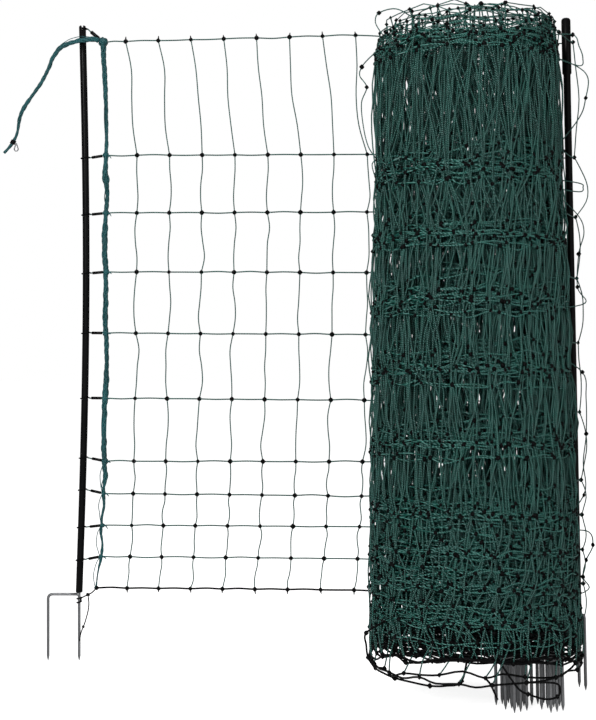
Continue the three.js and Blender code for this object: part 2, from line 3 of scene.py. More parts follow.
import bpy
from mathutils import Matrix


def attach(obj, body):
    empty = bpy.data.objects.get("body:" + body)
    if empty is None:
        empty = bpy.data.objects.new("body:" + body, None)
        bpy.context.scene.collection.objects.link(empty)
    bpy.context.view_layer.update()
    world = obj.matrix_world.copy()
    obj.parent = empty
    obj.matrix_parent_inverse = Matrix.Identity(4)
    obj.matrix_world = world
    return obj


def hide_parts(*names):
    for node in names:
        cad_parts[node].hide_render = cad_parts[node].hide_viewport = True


bl_info = {
    "name": "Electric poultry netting",
    "version": (1, 0, 0),
    "blender": (4, 5, 0),
    "location": "3D View > Sidebar > Netting",
    "description": "End post, stretched net, roll, double spikes and cords of an electric poultry net",
    "category": "Object",
}

import math

import bpy
import numpy as np

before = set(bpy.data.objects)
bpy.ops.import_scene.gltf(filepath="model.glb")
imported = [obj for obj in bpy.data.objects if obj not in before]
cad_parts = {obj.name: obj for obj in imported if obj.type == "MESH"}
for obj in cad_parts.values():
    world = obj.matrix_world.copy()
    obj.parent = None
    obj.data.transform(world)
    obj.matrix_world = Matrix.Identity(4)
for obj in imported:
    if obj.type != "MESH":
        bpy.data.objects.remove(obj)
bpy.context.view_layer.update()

# Everything below is laid out in millimetres from the end post's foot, as the solids are.
TO_ROW_FRAME = np.array([-453.3009, 276.0998, 0.0696])

POST_RADIUS = 7.0
POST_TOP = 1288.0
POST_FOOT = 139.0
POST_BOW = 12.0
CAP_RADIUS = 9.0
CAP_LENGTH = 112.0
SLOT_WIDTH = 4.0
SLOT_DEPTH = 9.0
SOCKET_DEPTH = 34.0

ROD_RADIUS = 3.0
PRONG_SPACING = 63.0
STEP_HEIGHT = POST_FOOT - 1.0 - ROD_RADIUS
BEND_RADIUS = 9.0
TIP_LENGTH = 10.0

GAP = 0.3
COLUMN_SPACING = 66.5
FIRST_COLUMN = 111.0
EDGE_DISTANCE = 585.0
TOP_LINE_FALL = 26.0
# Height, rise towards the roll, sideways shift of the knots, and offset of the loop on the post.
LINES = (
    (1254, 9, -24, 0),
    (1025, -5, 0, -5),
    (908, -4, 0, -3),
    (789, -6, 0, -3),
    (665, -5, -1, 0),
    (533, -2, -2, 0),
    (405, 6, -4, 7),
    (340, 4, -5, 7),
    (275, 10, -8, -4),
    (212, 11, -11, -7),
    (148, 15, -17, 0),
)
TALL_ROWS = 4  # the rows of the roll's uprights that make its upper piece
LINK_X = (41, 47, 47.4, 48.5, 47, 46.2, 47.2, 43.5, 41.5, 38.4, 29)
LINK_DIAMETERS = (9, 9, 9, 9, 9, 8, 6, 5, 4.5, 3)

LEAD_DIAMETER = 7.0
LEAD_ROUTE = (
    (31.8, -8.2, 1256.9), (25, -11, 1258.3), (14, -12, 1258), (5.3, -12, 1256.6),
    (-4.5, -12, 1255.3), (-13.4, -11.5, 1253.3), (-23, -11, 1251.2), (-31.9, -10, 1248.3),
    (-44.4, -9, 1242), (-53.8, -8, 1231.6), (-61.5, -7, 1218.8), (-67.8, -6, 1203.6),
    (-75.9, -5, 1185.7), (-86.3, -4, 1168.6), (-97.2, -3, 1153), (-108.1, -2, 1138.5),
    (-118.6, -1, 1123.6), (-125.8, 0, 1109.8), (-129.6, 0, 1095.4), (-131.4, 0, 1081.2),
    (-134.9, 0, 1066.4), (-142, 0, 1052), (-150.8, 0, 1040.3), (-160.5, 0, 1030),
)
BINDING_AFTER = 21
TIE_DIAMETER = 2.8
TIE_KNOT = (10.0, -1.0, 134.0)
TIE_TURNS = (127.0, 119.0)
TIE_TAIL_ROUTE = (
    (11, -2.2, 129.5), (11.7, -3.2, 124), (12.2, -4.1, 118), (12.2, -4.8, 112.4),
    (11.6, -5.2, 106.9), (10.8, -5.6, 101.6), (9.6, -6, 96.4), (8.2, -6.3, 91),
    (6.8, -6.5, 85.8), (5.2, -6.7, 80.6), (3.4, -6.9, 75.4), (1.4, -7, 70.2),
    (-0.8, -7, 64.8), (-2.8, -7, 59.2), (-4.4, -7, 53.2), (-5.4, -7, 47), (-6, -7, 41),
)

LEAN = math.radians(8)
ROLL_X = 752.0
ROLL_Y = -380.0
ROLL_HEIGHTS = (62.0, 1247.0)
ROLL_RADII = (193.0, 175.0)
BUNDLE_CENTRE = (62.0, -30.0)
BUNDLE_REACH = (76.0, 54.0)
PACKING = 1.6  # over 1, the outer turns lie closer together than the inner ones
COLUMN_SLACK = 0.93  # how much of a column's width its chord keeps
SLUMPED_TURNS = 5  # the slump of the outermost turn fades over about so many turns
SETTLE_ANGLE = 2.2  # how far round the first turn takes to reach its slump
MEAN_SLUMP = 0.47  # share of the slump that the inner turns have
SLUMP_SWINGS = ((0.4, 11), (0.2, 3.7))  # size and columns of the swings about it
TALL_SHIFT = 70  # how far the knots of the two top lines shift sideways
LOW_SHIFT = 27
WAIST_DEPTH = 6
WAIST_HEIGHT = 900
WAIST_REACH = 45
FACE_TURNS = 13  # outer turns that are made with more cuts
CHAINS = (3, 4, 5)
CHAIN_STEP = (11.9, 8.6)
BUNDLE_RIGHT = 897.0
BUNDLE_FRONT = -460.0
OUTER_X = 961.0
OUTER_Y = -250.0
OUTER_LEAN = math.radians(6.5)
OUTER_DROP = 22.0
INTO_ROLL = 12.0

# Loose loops of net that stand off the roll: which line, which points are knots, and the points.
LOOSE_LOOPS = (
    ("green", (3, 5), ((598, -221, 1200), (583, -223, 1190), (568, -225, 1176), (556, -227, 1161),
        (552, -229, 1144), (565, -232, 1122), (555, -237, 1092), (558, -243, 1048), (567, -248, 1009),
        (578, -251, 990))),
    ("green", (2,), ((652, -211, 1274), (621, -211, 1274), (589, -212, 1266), (582, -214, 1250),
        (588, -216, 1235), (602, -218, 1221))),
    ("green", (), ((567, -249, 1006), (574, -253, 973), (583, -259, 934), (581, -264, 898),
        (577, -268, 866))),
    ("green", (1,), ((960, -112, 1250), (973, -112, 1246), (985, -115, 1223), (992, -117, 1200),
        (984, -119, 1184), (975, -118, 1192))),
    ("green", (3,), ((969, -117, 1204), (978, -119, 1184), (1001, -122, 1160), (996, -126, 1120),
        (982, -131, 1080), (973, -138, 1017))),
    ("green", (4,), ((966, -145, 954), (979, -146, 952), (987, -146, 944), (979, -148, 935),
        (971, -147, 939))),
    ("green", (0, 3, 4), ((971, -148, 931), (974, -152, 892), (987, -156, 857), (976, -161, 814),
        (972, -169, 750), (986, -172, 719), (972, -175, 690))),
    ("green", (1, 3, 5), ((969, -183, 625), (978, -187, 587), (984, -193, 538), (983, -200, 470),
        (976, -207, 417), (976, -214, 355), (971, -220, 303))),
    ("green", (2, 3, 4), ((971, -220, 303), (980, -221, 288), (991, -224, 262), (978, -227, 234),
        (971, -231, 203), (980, -234, 179), (972, -237, 153))),
    ("bottom", (3, 5), ((779, -553, 90), (792, -555, 77), (805, -557, 61), (819, -558, 54),
        (847, -559, 46), (867, -559, 50), (872, -557, 61), (864, -556, 72), (851, -554, 82))),
    ("bottom", (), ((749, -554, 87), (757, -556, 69), (768, -560, 45))),
    ("bottom", (1, 3, 4, 6, 8, 10), ((562, -455, 146), (554, -457, 138), (554, -459, 117),
        (557, -462, 97), (569, -465, 79), (584, -466, 70), (603, -467, 62), (632, -468, 55),
        (663, -469, 49), (691, -469, 49), (718, -468, 57), (743, -467, 65))),
)
# How far the loose column beside the outer post bows out between the lines.
SIDE_BOWS = (12, 20, 9, 15, 8, 13, 6, 8, 4, 5)


# The stage, in metres and watts.
CAMERA_PLACE = (-0.0173, -2.8239, 0.6101)
LENS = 76.4
AIM = (0.0, 0.0, 0.6)
LAMPS = (
    ("key", (-1.3, -3.6, 2.4), 128, 1.2),
    ("fill", (2.6, -2.8, 1.6), 20, 2.0),
    ("top", (0.1, 0.2, 3.6), 34, 3.0),
)
SKY_LIGHT = 0.2
FLOOR_HALF = 40
FLOOR_THICKNESS = 0.02
FLOOR_GLOW = 0.85  # lifts the floor to white for the camera alone


class NettingSizes(bpy.types.PropertyGroup):
    """Sizes of the net that can be changed without changing the solids."""

    strand: bpy.props.FloatProperty(
        name="Strand", description="Thickness of a green strand",
        default=0.0023, min=0.001, max=0.004, precision=4, unit="LENGTH",
    )
    bottom_line: bpy.props.FloatProperty(
        name="Bottom line", description="Thickness of the black bottom line",
        default=0.0038, min=0.001, max=0.005, precision=4, unit="LENGTH",
    )
    knot: bpy.props.FloatProperty(
        name="Knot", description="Width of the knot where an upright crosses a line",
        default=0.0105, min=0.004, max=0.014, precision=4, unit="LENGTH",
    )
    slump: bpy.props.FloatProperty(
        name="Slump", description="How far the outermost turn of the roll has slid down",
        default=0.1, min=0.0, max=0.11, unit="LENGTH",
    )
    twist: bpy.props.FloatProperty(
        name="Twist", description="Length of one twist of the link cord",
        default=0.056, min=0.015, max=0.1, unit="LENGTH",
    )
    turns: bpy.props.IntProperty(
        name="Turns", description="How many turns of net the roll holds",
        default=60, min=10, max=70,
    )


class NettingColours(bpy.types.PropertyGroup):
    """Colours of the finishes."""

    net: bpy.props.FloatVectorProperty(
        name="Net", description="Green of the net's strands",
        default=(0.0006, 0.036, 0.026), min=0, max=1, subtype="COLOR",
    )
    net_light: bpy.props.FloatVectorProperty(
        name="Net, light", description="Lighter fibres of the net's strands",
        default=(0.025, 0.2, 0.165), min=0, max=1, subtype="COLOR",
    )
    cord: bpy.props.FloatVectorProperty(
        name="Cord", description="Teal of the link cord and its lead",
        default=(0.003, 0.05, 0.055), min=0, max=1, subtype="COLOR",
    )
    black: bpy.props.FloatVectorProperty(
        name="Black", description="Black of the knots, the bottom line and the plastic",
        default=(0.0014, 0.0014, 0.0016), min=0, max=1, subtype="COLOR",
    )
    steel: bpy.props.FloatVectorProperty(
        name="Steel", description="Zinc of the double spikes",
        default=(0.27, 0.275, 0.285), min=0, max=1, subtype="COLOR",
    )


# Paths and meshes.


def smooth(paths, steps):
    """Rounds polylines, shape [path, point, xyz], through all their points."""
    paths = np.asarray(paths, float)
    ends = (2 * paths[:, :1] - paths[:, 1:2], 2 * paths[:, -1:] - paths[:, -2:-1])
    padded = np.concatenate([ends[0], paths, ends[1]], axis=1)
    a, b, c, d = padded[:, :-3], padded[:, 1:-2], padded[:, 2:-1], padded[:, 3:]
    cuts = [
        0.5 * (2 * b + (c - a) * t + (2 * a - 5 * b + 4 * c - d) * t**2 + (3 * b - a - 3 * c + d) * t**3)
        for t in np.arange(steps) / steps
    ]
    body = np.stack(cuts, axis=2).reshape(len(paths), -1, 3)
    return np.concatenate([body, paths[:, -1:]], axis=1)


def drift(rng, count, step):
    """A smooth random run from -1 to 1 that turns about every `step` places."""
    marks = rng.uniform(-1, 1, int(count / step) + 4)
    at = np.arange(count) / step + 1
    low = at.astype(int)
    t = at - low
    t = t * t * (3 - 2 * t)
    return marks[low] * (1 - t) + marks[low + 1] * t


def unit(vectors):
    """The vectors at length 1."""
    size = np.linalg.norm(vectors, axis=-1, keepdims=True)
    return vectors / np.maximum(size, 1e-9)


class Shell:
    """Gathers closed forms and makes one mesh of them."""

    def __init__(self):
        self.points = []
        self.faces = []
        self.count = 0

    def add(self, points, *faces):
        self.points.append(np.asarray(points, float).reshape(-1, 3))
        self.faces += [np.asarray(f) + self.count for f in faces]
        self.count += len(self.points[-1])

    def tubes(self, paths, radius, sides, closed=False, turn=0.0):
        """Adds a tube round every path. The radius is one number or one for each point."""
        paths = np.asarray(paths, float)
        n, m = paths.shape[:2]
        ahead = np.roll(paths, -1, axis=1) - np.roll(paths, 1, axis=1)
        if not closed:
            ahead[:, 0] = paths[:, 1] - paths[:, 0]
            ahead[:, -1] = paths[:, -1] - paths[:, -2]
        ahead = unit(ahead)
        seed = np.where(np.abs(ahead[:, 0, 2:]) < 0.8, [[0.0, 0.0, 1.0]], [[0.0, 1.0, 0.0]])
        normal = np.empty_like(paths)
        normal[:, 0] = unit(np.cross(np.cross(ahead[:, 0], seed), ahead[:, 0]))
        for j in range(1, m):
            flat = normal[:, j - 1] - ahead[:, j] * np.sum(normal[:, j - 1] * ahead[:, j], -1, keepdims=True)
            normal[:, j] = unit(flat)
        side = np.cross(ahead, normal)
        angle = 2 * math.pi * np.arange(sides) / sides + turn
        radius = np.broadcast_to(np.asarray(radius, float), (n, m))[:, :, None, None]
        spokes = normal[:, :, None] * np.cos(angle)[:, None] + side[:, :, None] * np.sin(angle)[:, None]
        points = paths[:, :, None] + radius * spokes
        index = np.arange(n * m * sides).reshape(n, m, sides)
        here, there = (index, np.roll(index, -1, axis=1)) if closed else (index[:, :-1], index[:, 1:])
        quads = np.stack([here, np.roll(here, -1, 2), np.roll(there, -1, 2), there], axis=-1)
        ends = () if closed else (index[:, 0, ::-1], index[:, -1])
        self.add(points, quads.reshape(-1, 4), *ends)

    def turned(self, profile, start, along, sides=24):
        """Adds a form turned about an axis, from [radius, distance] pairs. A closed profile makes a ring."""
        start, along = np.asarray(start, float), unit(np.asarray(along, float))
        seed = np.array([0.0, 1.0, 0.0]) if abs(along[2]) > 0.7 else np.array([0.0, 0.0, 1.0])
        x = unit(np.cross(seed, along))
        y = np.cross(along, x)
        angle = 2 * math.pi * np.arange(sides) / sides
        profile = np.asarray(profile, float)
        spokes = np.cos(angle)[:, None] * x + np.sin(angle)[:, None] * y
        points = start + profile[:, 1, None, None] * along + profile[:, 0, None, None] * spokes
        index = np.arange(len(profile) * sides).reshape(-1, sides)
        ring = np.allclose(profile[0], profile[-1])
        if ring:
            points, index = points[:-1], np.vstack([index[:-1], index[:1]])
        quads = np.stack([index[:-1], np.roll(index[:-1], -1, 1), np.roll(index[1:], -1, 1), index[1:]], -1)
        ends = () if ring else (index[:1, ::-1], index[-1:])
        self.add(points, quads.reshape(-1, 4), *ends)

    def copies(self, form, centres, scale=1.0, angles=None):
        """Adds a copy of a form, (points, faces), at every centre, turned about Z."""
        points, faces = form
        centres = np.asarray(centres, float).reshape(-1, 3)
        count = len(centres)
        angles = np.zeros(count) if angles is None else np.asarray(angles)
        scale = np.broadcast_to(np.asarray(scale, float), (count,))
        cos, sin = np.cos(angles)[:, None], np.sin(angles)[:, None]
        turned = np.stack(
            [
                points[:, 0] * cos - points[:, 1] * sin,
                points[:, 0] * sin + points[:, 1] * cos,
                np.broadcast_to(points[:, 2], (count, len(points))),
            ],
            axis=-1,
        )
        base = (np.arange(count) * len(points))[:, None, None]
        lists = [(np.asarray(f)[None] + base).reshape(-1, np.asarray(f).shape[1]) for f in faces]
        self.add(turned * scale[:, None, None] + centres[:, None], *lists)

    def make(self, name, look, slot, *nodes):
        """Makes the piece, gives it its finish and lets it stand for its solids."""
        points = (np.concatenate(self.points) + TO_ROW_FRAME) * 0.001
        mesh = bpy.data.meshes.new(name)
        corners = np.concatenate([f.reshape(-1) for f in self.faces])
        sizes = np.concatenate([np.full(len(f), f.shape[1]) for f in self.faces])
        mesh.vertices.add(len(points))
        mesh.vertices.foreach_set("co", points.astype(np.float32).ravel())
        mesh.loops.add(len(corners))
        mesh.loops.foreach_set("vertex_index", corners.astype(np.int32))
        mesh.polygons.add(len(sizes))
        starts = np.concatenate([[0], np.cumsum(sizes)[:-1]])
        mesh.polygons.foreach_set("loop_start", starts.astype(np.int32))
        mesh.polygons.foreach_set("loop_total", sizes.astype(np.int32))
        mesh.polygons.foreach_set("use_smooth", np.ones(len(sizes), bool))
        mesh.update(calc_edges=True)
        mesh.validate()
        mesh.materials.append(look)
        piece = bpy.data.objects.new(name, mesh)
        bpy.context.scene.collection.objects.link(piece)
        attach(piece, "root")
        if nodes:
            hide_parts(*nodes)
        return piece


def rounded_form(reach, power, segments, rings):
    """A closed lump that reaches `reach` along X, Y and Z. A low power draws it out to points."""
    points = [(0, 0, 1)]
    for i in range(1, rings):
        polar = math.pi * i / rings
        for j in range(segments):
            around = 2 * math.pi * j / segments
            out = math.sin(polar)
            points.append((out * math.cos(around), out * math.sin(around), math.cos(polar)))
    points.append((0, 0, -1))
    points = np.array(points)
    weight = (np.abs(points / np.asarray(reach)) ** power).sum(1, keepdims=True) ** (-1 / power)
    ring = lambda i: 1 + i * segments + np.arange(segments)
    last = len(points) - 1
    top = np.stack([np.zeros(segments, int), ring(0), np.roll(ring(0), -1)], 1)
    bottom = np.stack([np.full(segments, last), np.roll(ring(rings - 2), -1), ring(rings - 2)], 1)
    bands = [
        np.stack([ring(i), ring(i + 1), np.roll(ring(i + 1), -1), np.roll(ring(i), -1)], 1)
        for i in range(rings - 2)
    ]
    faces = [np.vstack([top, bottom])]
    if bands:
        faces.append(np.vstack(bands))
    return points * weight, faces


# Where the net's lines and knots are.


def end_post_x(height):
    """The bowed end post's centre at a height."""
    share = (height - POST_FOOT) / (POST_TOP - POST_FOOT)
    return -8 + POST_BOW * np.sin(math.pi * np.minimum(share * 0.93, 1)) + 4 * share


def roll_radius(height):
    """The roll's radius, which tapers a little towards its top."""
    return np.interp(height, ROLL_HEIGHTS, ROLL_RADII)


def roll_axis_y(height):
    """The roll's leaning axis."""
    return ROLL_Y + height * math.tan(LEAN)


def touch_point(start, height, radius, side):
    """Where a line from a point touches a circle about the roll's axis."""
    dx, dy = ROLL_X - start[0], roll_axis_y(height) - start[1]
    distance = math.hypot(dx, dy)
    angle = math.atan2(dy, dx) + side * math.asin(radius / distance)
    reach = math.sqrt(distance**2 - radius**2)
    return np.array([start[0] + reach * math.cos(angle), start[1] + reach * math.sin(angle), height])


def line_end(i):
    """Where line i reaches the roll."""
    height = LINES[i][0]
    return touch_point((0, 0), height, float(roll_radius(height)) - INTO_ROLL, 1)


def on_line(i, distance):
    """A point on line i, at a distance from the end post."""
    height, rise = LINES[i][:2]
    end = line_end(i)
    length = math.hypot(end[0], end[1])
    fall = TOP_LINE_FALL * max((distance - EDGE_DISTANCE) / (length - EDGE_DISTANCE), 0) if i == 0 else 0
    z = height + rise * min(distance / EDGE_DISTANCE, 1) - fall
    return np.array([distance * end[0] / length, distance * end[1] / length, z])


def column_at(i, column):
    """How far line i's knot in a column is from the end post. Column 0 is the link cord."""
    return LINK_X[i] if column == 0 else FIRST_COLUMN + COLUMN_SPACING * (column - 1) + LINES[i][2]


def loop_end(i):
    """Where line i leaves its loop on the end post."""
    if i == 0:
        return np.array([9.4, 0, POST_TOP - SLOT_DEPTH + 2.4])
    height = LINES[i][0] + LINES[i][3]
    return np.array([end_post_x(height) + POST_RADIUS + GAP + 1.2, 0, height])


def panel_knots():
    """The stretched net's knots as [line, column, xyz], from column 1 to the roll."""
    columns = int((np.hypot(*line_end(0)[:2]) - FIRST_COLUMN + 24) // COLUMN_SPACING)
    return np.array([[on_line(i, column_at(i, c)) for c in range(1, columns + 1)] for i in range(len(LINES))])


def column_angles(turns):
    """How far round the roll each column of the wound net is, from its outer end inwards."""
    total = turns * 2 * math.pi
    outer, inner = ROLL_RADII[1], sum(BUNDLE_REACH) / 2
    angles = [0.0]
    while angles[-1] < total:
        radius = outer + (inner - outer) * (angles[-1] / total) ** PACKING
        angles.append(angles[-1] + COLUMN_SLACK * COLUMN_SPACING / radius)
    return np.array(angles)


def wound_knots(turns, slump_depth):
    """The rolled net's knots as [column, line, xyz]."""
    rng = np.random.default_rng(41)
    along = column_angles(turns)
    count = len(along)
    share = (along / along[-1]) ** PACKING
    outer = np.exp(-along / (2 * math.pi * SLUMPED_TURNS))
    settle = np.clip(along / SETTLE_ANGLE, 0, 1)
    settle = settle * settle * (3 - 2 * settle)
    loose = MEAN_SLUMP
    for swing, columns in SLUMP_SWINGS:
        loose = loose + swing * drift(rng, count, columns)
    slump = slump_depth * (outer * settle + (1 - outer) * loose)
    knots = np.zeros((count, len(LINES), 3))
    for i, (height, rise, _, _) in enumerate(LINES):
        drop = slump * (1 - 0.035 * i * (1 - outer)) + 4 * rng.uniform(-1, 1, count)
        drop = drop + 6 * drift(rng, count, 2.6)
        drop = np.maximum(drop * settle, -4)
        z = height + rise - drop
        reach = TALL_SHIFT if i < 2 else LOW_SHIFT
        aside = (reach * drift(rng, count, 4.6) + 0.2 * reach * rng.uniform(-1, 1, count)) * settle
        waist = WAIST_DEPTH * np.exp(-(((z - WAIST_HEIGHT) / WAIST_REACH) ** 2))
        inset = INTO_ROLL * np.exp(-along / 0.7) + 2 + waist + 4 * rng.uniform(0, 1, count) * settle
        radius = roll_radius(z) - inset
        end = line_end(i)
        start = math.atan2(end[1] - roll_axis_y(LINES[i][0]), end[0] - ROLL_X)
        angle = start - along + aside / np.maximum(radius * (1 - 0.5 * share), 60)
        inner_x = BUNDLE_CENTRE[0] + BUNDLE_REACH[0] * np.cos(angle)
        inner_y = BUNDLE_CENTRE[1] + BUNDLE_REACH[1] * np.sin(angle)
        x = radius * np.cos(angle) * (1 - share) + inner_x * share
        y = radius * np.sin(angle) * (1 - share) + inner_y * share
        knots[:, i] = np.stack([ROLL_X + x, roll_axis_y(z) + y, z], axis=-1)
    return knots


def wavy_lines(nodes, rng, waves, steps):
    """Lines through the nodes, [line, column, xyz], with slack between the knots."""
    middles = (nodes[:, 1:] + nodes[:, :-1]) / 2
    middles = middles + rng.uniform(-1, 1, middles.shape) * np.asarray(waves)
    paths = np.empty((len(nodes), nodes.shape[1] * 2 - 1, 3))
    paths[:, ::2], paths[:, 1::2] = nodes, middles
    return smooth(paths, steps) if steps > 1 else paths


def wavy_uprights(tops, bottoms, rng, bow, cuts, steps):
    """Strands from tops to bottoms, each [strand, xyz], that bow to and fro on the way."""
    share = np.linspace(0, 1, cuts + 2)[None, :, None]
    paths = tops[:, None] * (1 - share) + bottoms[:, None] * share
    side = rng.uniform(-1, 1, (len(tops), 1, 3)) * np.sin(math.pi * share)
    bend = rng.uniform(-1, 1, (len(tops), 1, 3)) * np.sin(2 * math.pi * share)
    shake = rng.uniform(-0.3, 0.3, paths.shape) * np.sin(math.pi * share) ** 0.5
    paths = paths + bow * np.array([1, 1, 0.1]) * (side + 0.6 * bend + shake)
    return smooth(paths, steps) if steps > 1 else paths


# Finishes.


def put(tree, kind, where=(0, 0), **values):
    """Adds a node and sets its named inputs."""
    node = tree.nodes.new(kind)
    node.location = where
    for name, value in values.items():
        node.inputs[name.replace("_", " ")].default_value = value
    return node


def mix_colours(tree, factor, first, second):
    """A colour mix. Each end is a socket or a colour."""
    mix = tree.nodes.new("ShaderNodeMix")
    mix.data_type = "RGBA"
    for socket, value in ((mix.inputs[0], factor), (mix.inputs[6], first), (mix.inputs[7], second)):
        if isinstance(value, bpy.types.NodeSocket):
            tree.links.new(value, socket)
        else:
            socket.default_value = value if isinstance(value, float) else (*value, 1)
    return mix.outputs[2]


def spread(tree, value, low, high, out_low=0.0, out_high=1.0):
    """The value's range from low to high, stretched to out_low and out_high."""
    node = tree.nodes.new("ShaderNodeMapRange")
    for i, number in enumerate((low, high, out_low, out_high)):
        node.inputs[i + 1].default_value = number
    tree.links.new(value, node.inputs[0])
    return node.outputs[0]


def calculate(tree, operation, first, second):
    """A math node on sockets or numbers."""
    node = tree.nodes.new("ShaderNodeMath")
    node.operation = operation
    for socket, value in zip(node.inputs, (first, second)):
        if isinstance(value, bpy.types.NodeSocket):
            tree.links.new(value, socket)
        else:
            socket.default_value = value
    return node.outputs[0]


def new_group(name, inputs, outputs):
    """An empty node group with float inputs and outputs."""
    group = bpy.data.node_groups.new(name, "ShaderNodeTree")
    for label, value in inputs.items():
        socket = group.interface.new_socket(label, in_out="INPUT", socket_type="NodeSocketFloat")
        socket.default_value = value
    for label in outputs:
        group.interface.new_socket(label, in_out="OUTPUT", socket_type="NodeSocketFloat")
    return group, group.nodes.new("NodeGroupInput"), group.nodes.new("NodeGroupOutput")


def twisted_yarn_group():
    """Twist, fibres and slow change of shade of a twisted yarn."""
    name = "Twisted yarn"
    if name in bpy.data.node_groups:
        return bpy.data.node_groups[name]
    inputs = {"Twist": 150.0, "Fibre": 1500.0, "Drift": 26.0}
    group, given, out = new_group(name, inputs, ("Ply", "Shade", "Wire", "Height"))
    place = group.nodes.new("ShaderNodeTexCoord")
    wave = group.nodes.new("ShaderNodeTexWave")
    wave.bands_direction = "DIAGONAL"
    wave.inputs["Distortion"].default_value = 1.4
    wave.inputs["Detail Scale"].default_value = 2.0
    fibre = put(group, "ShaderNodeTexNoise", Detail=3.0, Roughness=0.6)
    slow = put(group, "ShaderNodeTexNoise", Detail=4.0, Roughness=0.65)
    for node, source in ((wave, "Twist"), (fibre, "Fibre"), (slow, "Drift")):
        group.links.new(place.outputs["Object"], node.inputs["Vector"])
        group.links.new(given.outputs[source], node.inputs["Scale"])
    ply = wave.outputs["Fac"]
    wire = spread(group, ply, 0.9, 1.0)
    coarse = calculate(group, "MULTIPLY", ply, 0.7)
    fine = calculate(group, "MULTIPLY", fibre.outputs["Fac"], 0.3)
    height = calculate(group, "ADD", coarse, fine)
    shade = spread(group, slow.outputs["Fac"], 0.38, 0.62)
    for label, value in (("Ply", ply), ("Shade", shade), ("Wire", wire), ("Height", height)):
        group.links.new(value, out.inputs[label])
    return group


def worn_surface_group():
    """Scuffs, dust and fine grain of a hard surface."""
    name = "Worn surface"
    if name in bpy.data.node_groups:
        return bpy.data.node_groups[name]
    inputs = {"Grain": 900.0, "Scuff": 60.0, "Stretch": 12.0}
    group, given, out = new_group(name, inputs, ("Grain", "Scuff", "Dust"))
    place = group.nodes.new("ShaderNodeTexCoord")
    stretch = group.nodes.new("ShaderNodeCombineXYZ")
    for axis in "XY":
        group.links.new(given.outputs["Stretch"], stretch.inputs[axis])
    stretch.inputs["Z"].default_value = 1.0
    longways = group.nodes.new("ShaderNodeVectorMath")
    longways.operation = "MULTIPLY"
    group.links.new(place.outputs["Object"], longways.inputs[0])
    group.links.new(stretch.outputs[0], longways.inputs[1])
    grain = put(group, "ShaderNodeTexNoise", Detail=2.0)
    scuff = put(group, "ShaderNodeTexNoise", Detail=5.0, Roughness=0.7)
    dust = put(group, "ShaderNodeTexNoise", Scale=9.0, Detail=6.0, Roughness=0.7)
    group.links.new(place.outputs["Object"], grain.inputs["Vector"])
    group.links.new(place.outputs["Object"], dust.inputs["Vector"])
    group.links.new(longways.outputs[0], scuff.inputs["Vector"])
    group.links.new(given.outputs["Grain"], grain.inputs["Scale"])
    group.links.new(given.outputs["Scuff"], scuff.inputs["Scale"])
    group.links.new(grain.outputs["Fac"], out.inputs["Grain"])
    group.links.new(spread(group, scuff.outputs["Fac"], 0.56, 0.72), out.inputs["Scuff"])
    group.links.new(spread(group, dust.outputs["Fac"], 0.42, 0.7), out.inputs["Dust"])
    return group


def new_material(name, group, values, **constants):
    """A material with one of the shared groups in it, and constants on its shader."""
    material = bpy.data.materials.new(name)
    material.use_nodes = True
    tree = material.node_tree
    shader = tree.nodes["Principled BSDF"]
    for label, value in constants.items():
        shader.inputs[label.replace("_", " ")].default_value = value
    effect = tree.nodes.new("ShaderNodeGroup")
    effect.node_tree = group
    effect.location = (-700, 0)
    for label, value in values.items():
        effect.inputs[label].default_value = value
    return material, tree, shader, effect.outputs


def add_bump(tree, shader, height, strength, distance):
    """Puts a height on the shader's normal."""
    bump = put(tree, "ShaderNodeBump", (-250, -300), Strength=strength, Distance=distance)
    tree.links.new(height, bump.inputs["Height"])
    tree.links.new(bump.outputs[0], shader.inputs["Normal"])


def scaled(colour, factor):
    """A colour made lighter or darker."""
    return tuple(min(float(c) * factor, 1.0) for c in colour)


def yarn_material(name, dark, base, light, twist, wire=0.0, roughness=(0.36, 0.62), gloss=0.22):
    """A twisted yarn. `wire` is how strongly its fine steel wires show."""
    if name in bpy.data.materials:
        return bpy.data.materials[name]
    material, tree, shader, yarn = new_material(
        name, twisted_yarn_group(), {"Twist": twist}, Specular_IOR_Level=gloss
    )
    shade = mix_colours(tree, yarn["Shade"], dark, base)
    colour = mix_colours(tree, spread(tree, yarn["Ply"], 0.25, 1.0, 0.0, 0.75), shade, light)
    if wire:
        colour = mix_colours(tree, calculate(tree, "MULTIPLY", yarn["Wire"], wire), colour, (0.35, 0.4, 0.4))
    tree.links.new(colour, shader.inputs["Base Color"])
    shine = spread(tree, yarn["Ply"], 0.0, 1.0, roughness[1], roughness[0])
    tree.links.new(shine, shader.inputs["Roughness"])
    add_bump(tree, shader, yarn["Height"], 0.5, 0.0006)
    return material


def plastic_material(name, black, scuffed, dusty, stretch, roughness=(0.34, 0.6)):
    """Black plastic with fine grain, scuffs along its length and a little dust."""
    if name in bpy.data.materials:
        return bpy.data.materials[name]
    material, tree, shader, worn = new_material(
        name, worn_surface_group(), {"Stretch": stretch}, Specular_IOR_Level=0.08
    )
    scuffs = mix_colours(tree, spread(tree, worn["Scuff"], 0.0, 1.0, 0.0, 0.6), black, scuffed)
    colour = mix_colours(tree, spread(tree, worn["Dust"], 0.0, 1.0, 0.0, 0.35), scuffs, dusty)
    tree.links.new(colour, shader.inputs["Base Color"])
    tree.links.new(spread(tree, worn["Scuff"], 0.0, 1.0, *roughness), shader.inputs["Roughness"])
    add_bump(tree, shader, worn["Grain"], 0.12, 0.0004)
    return material


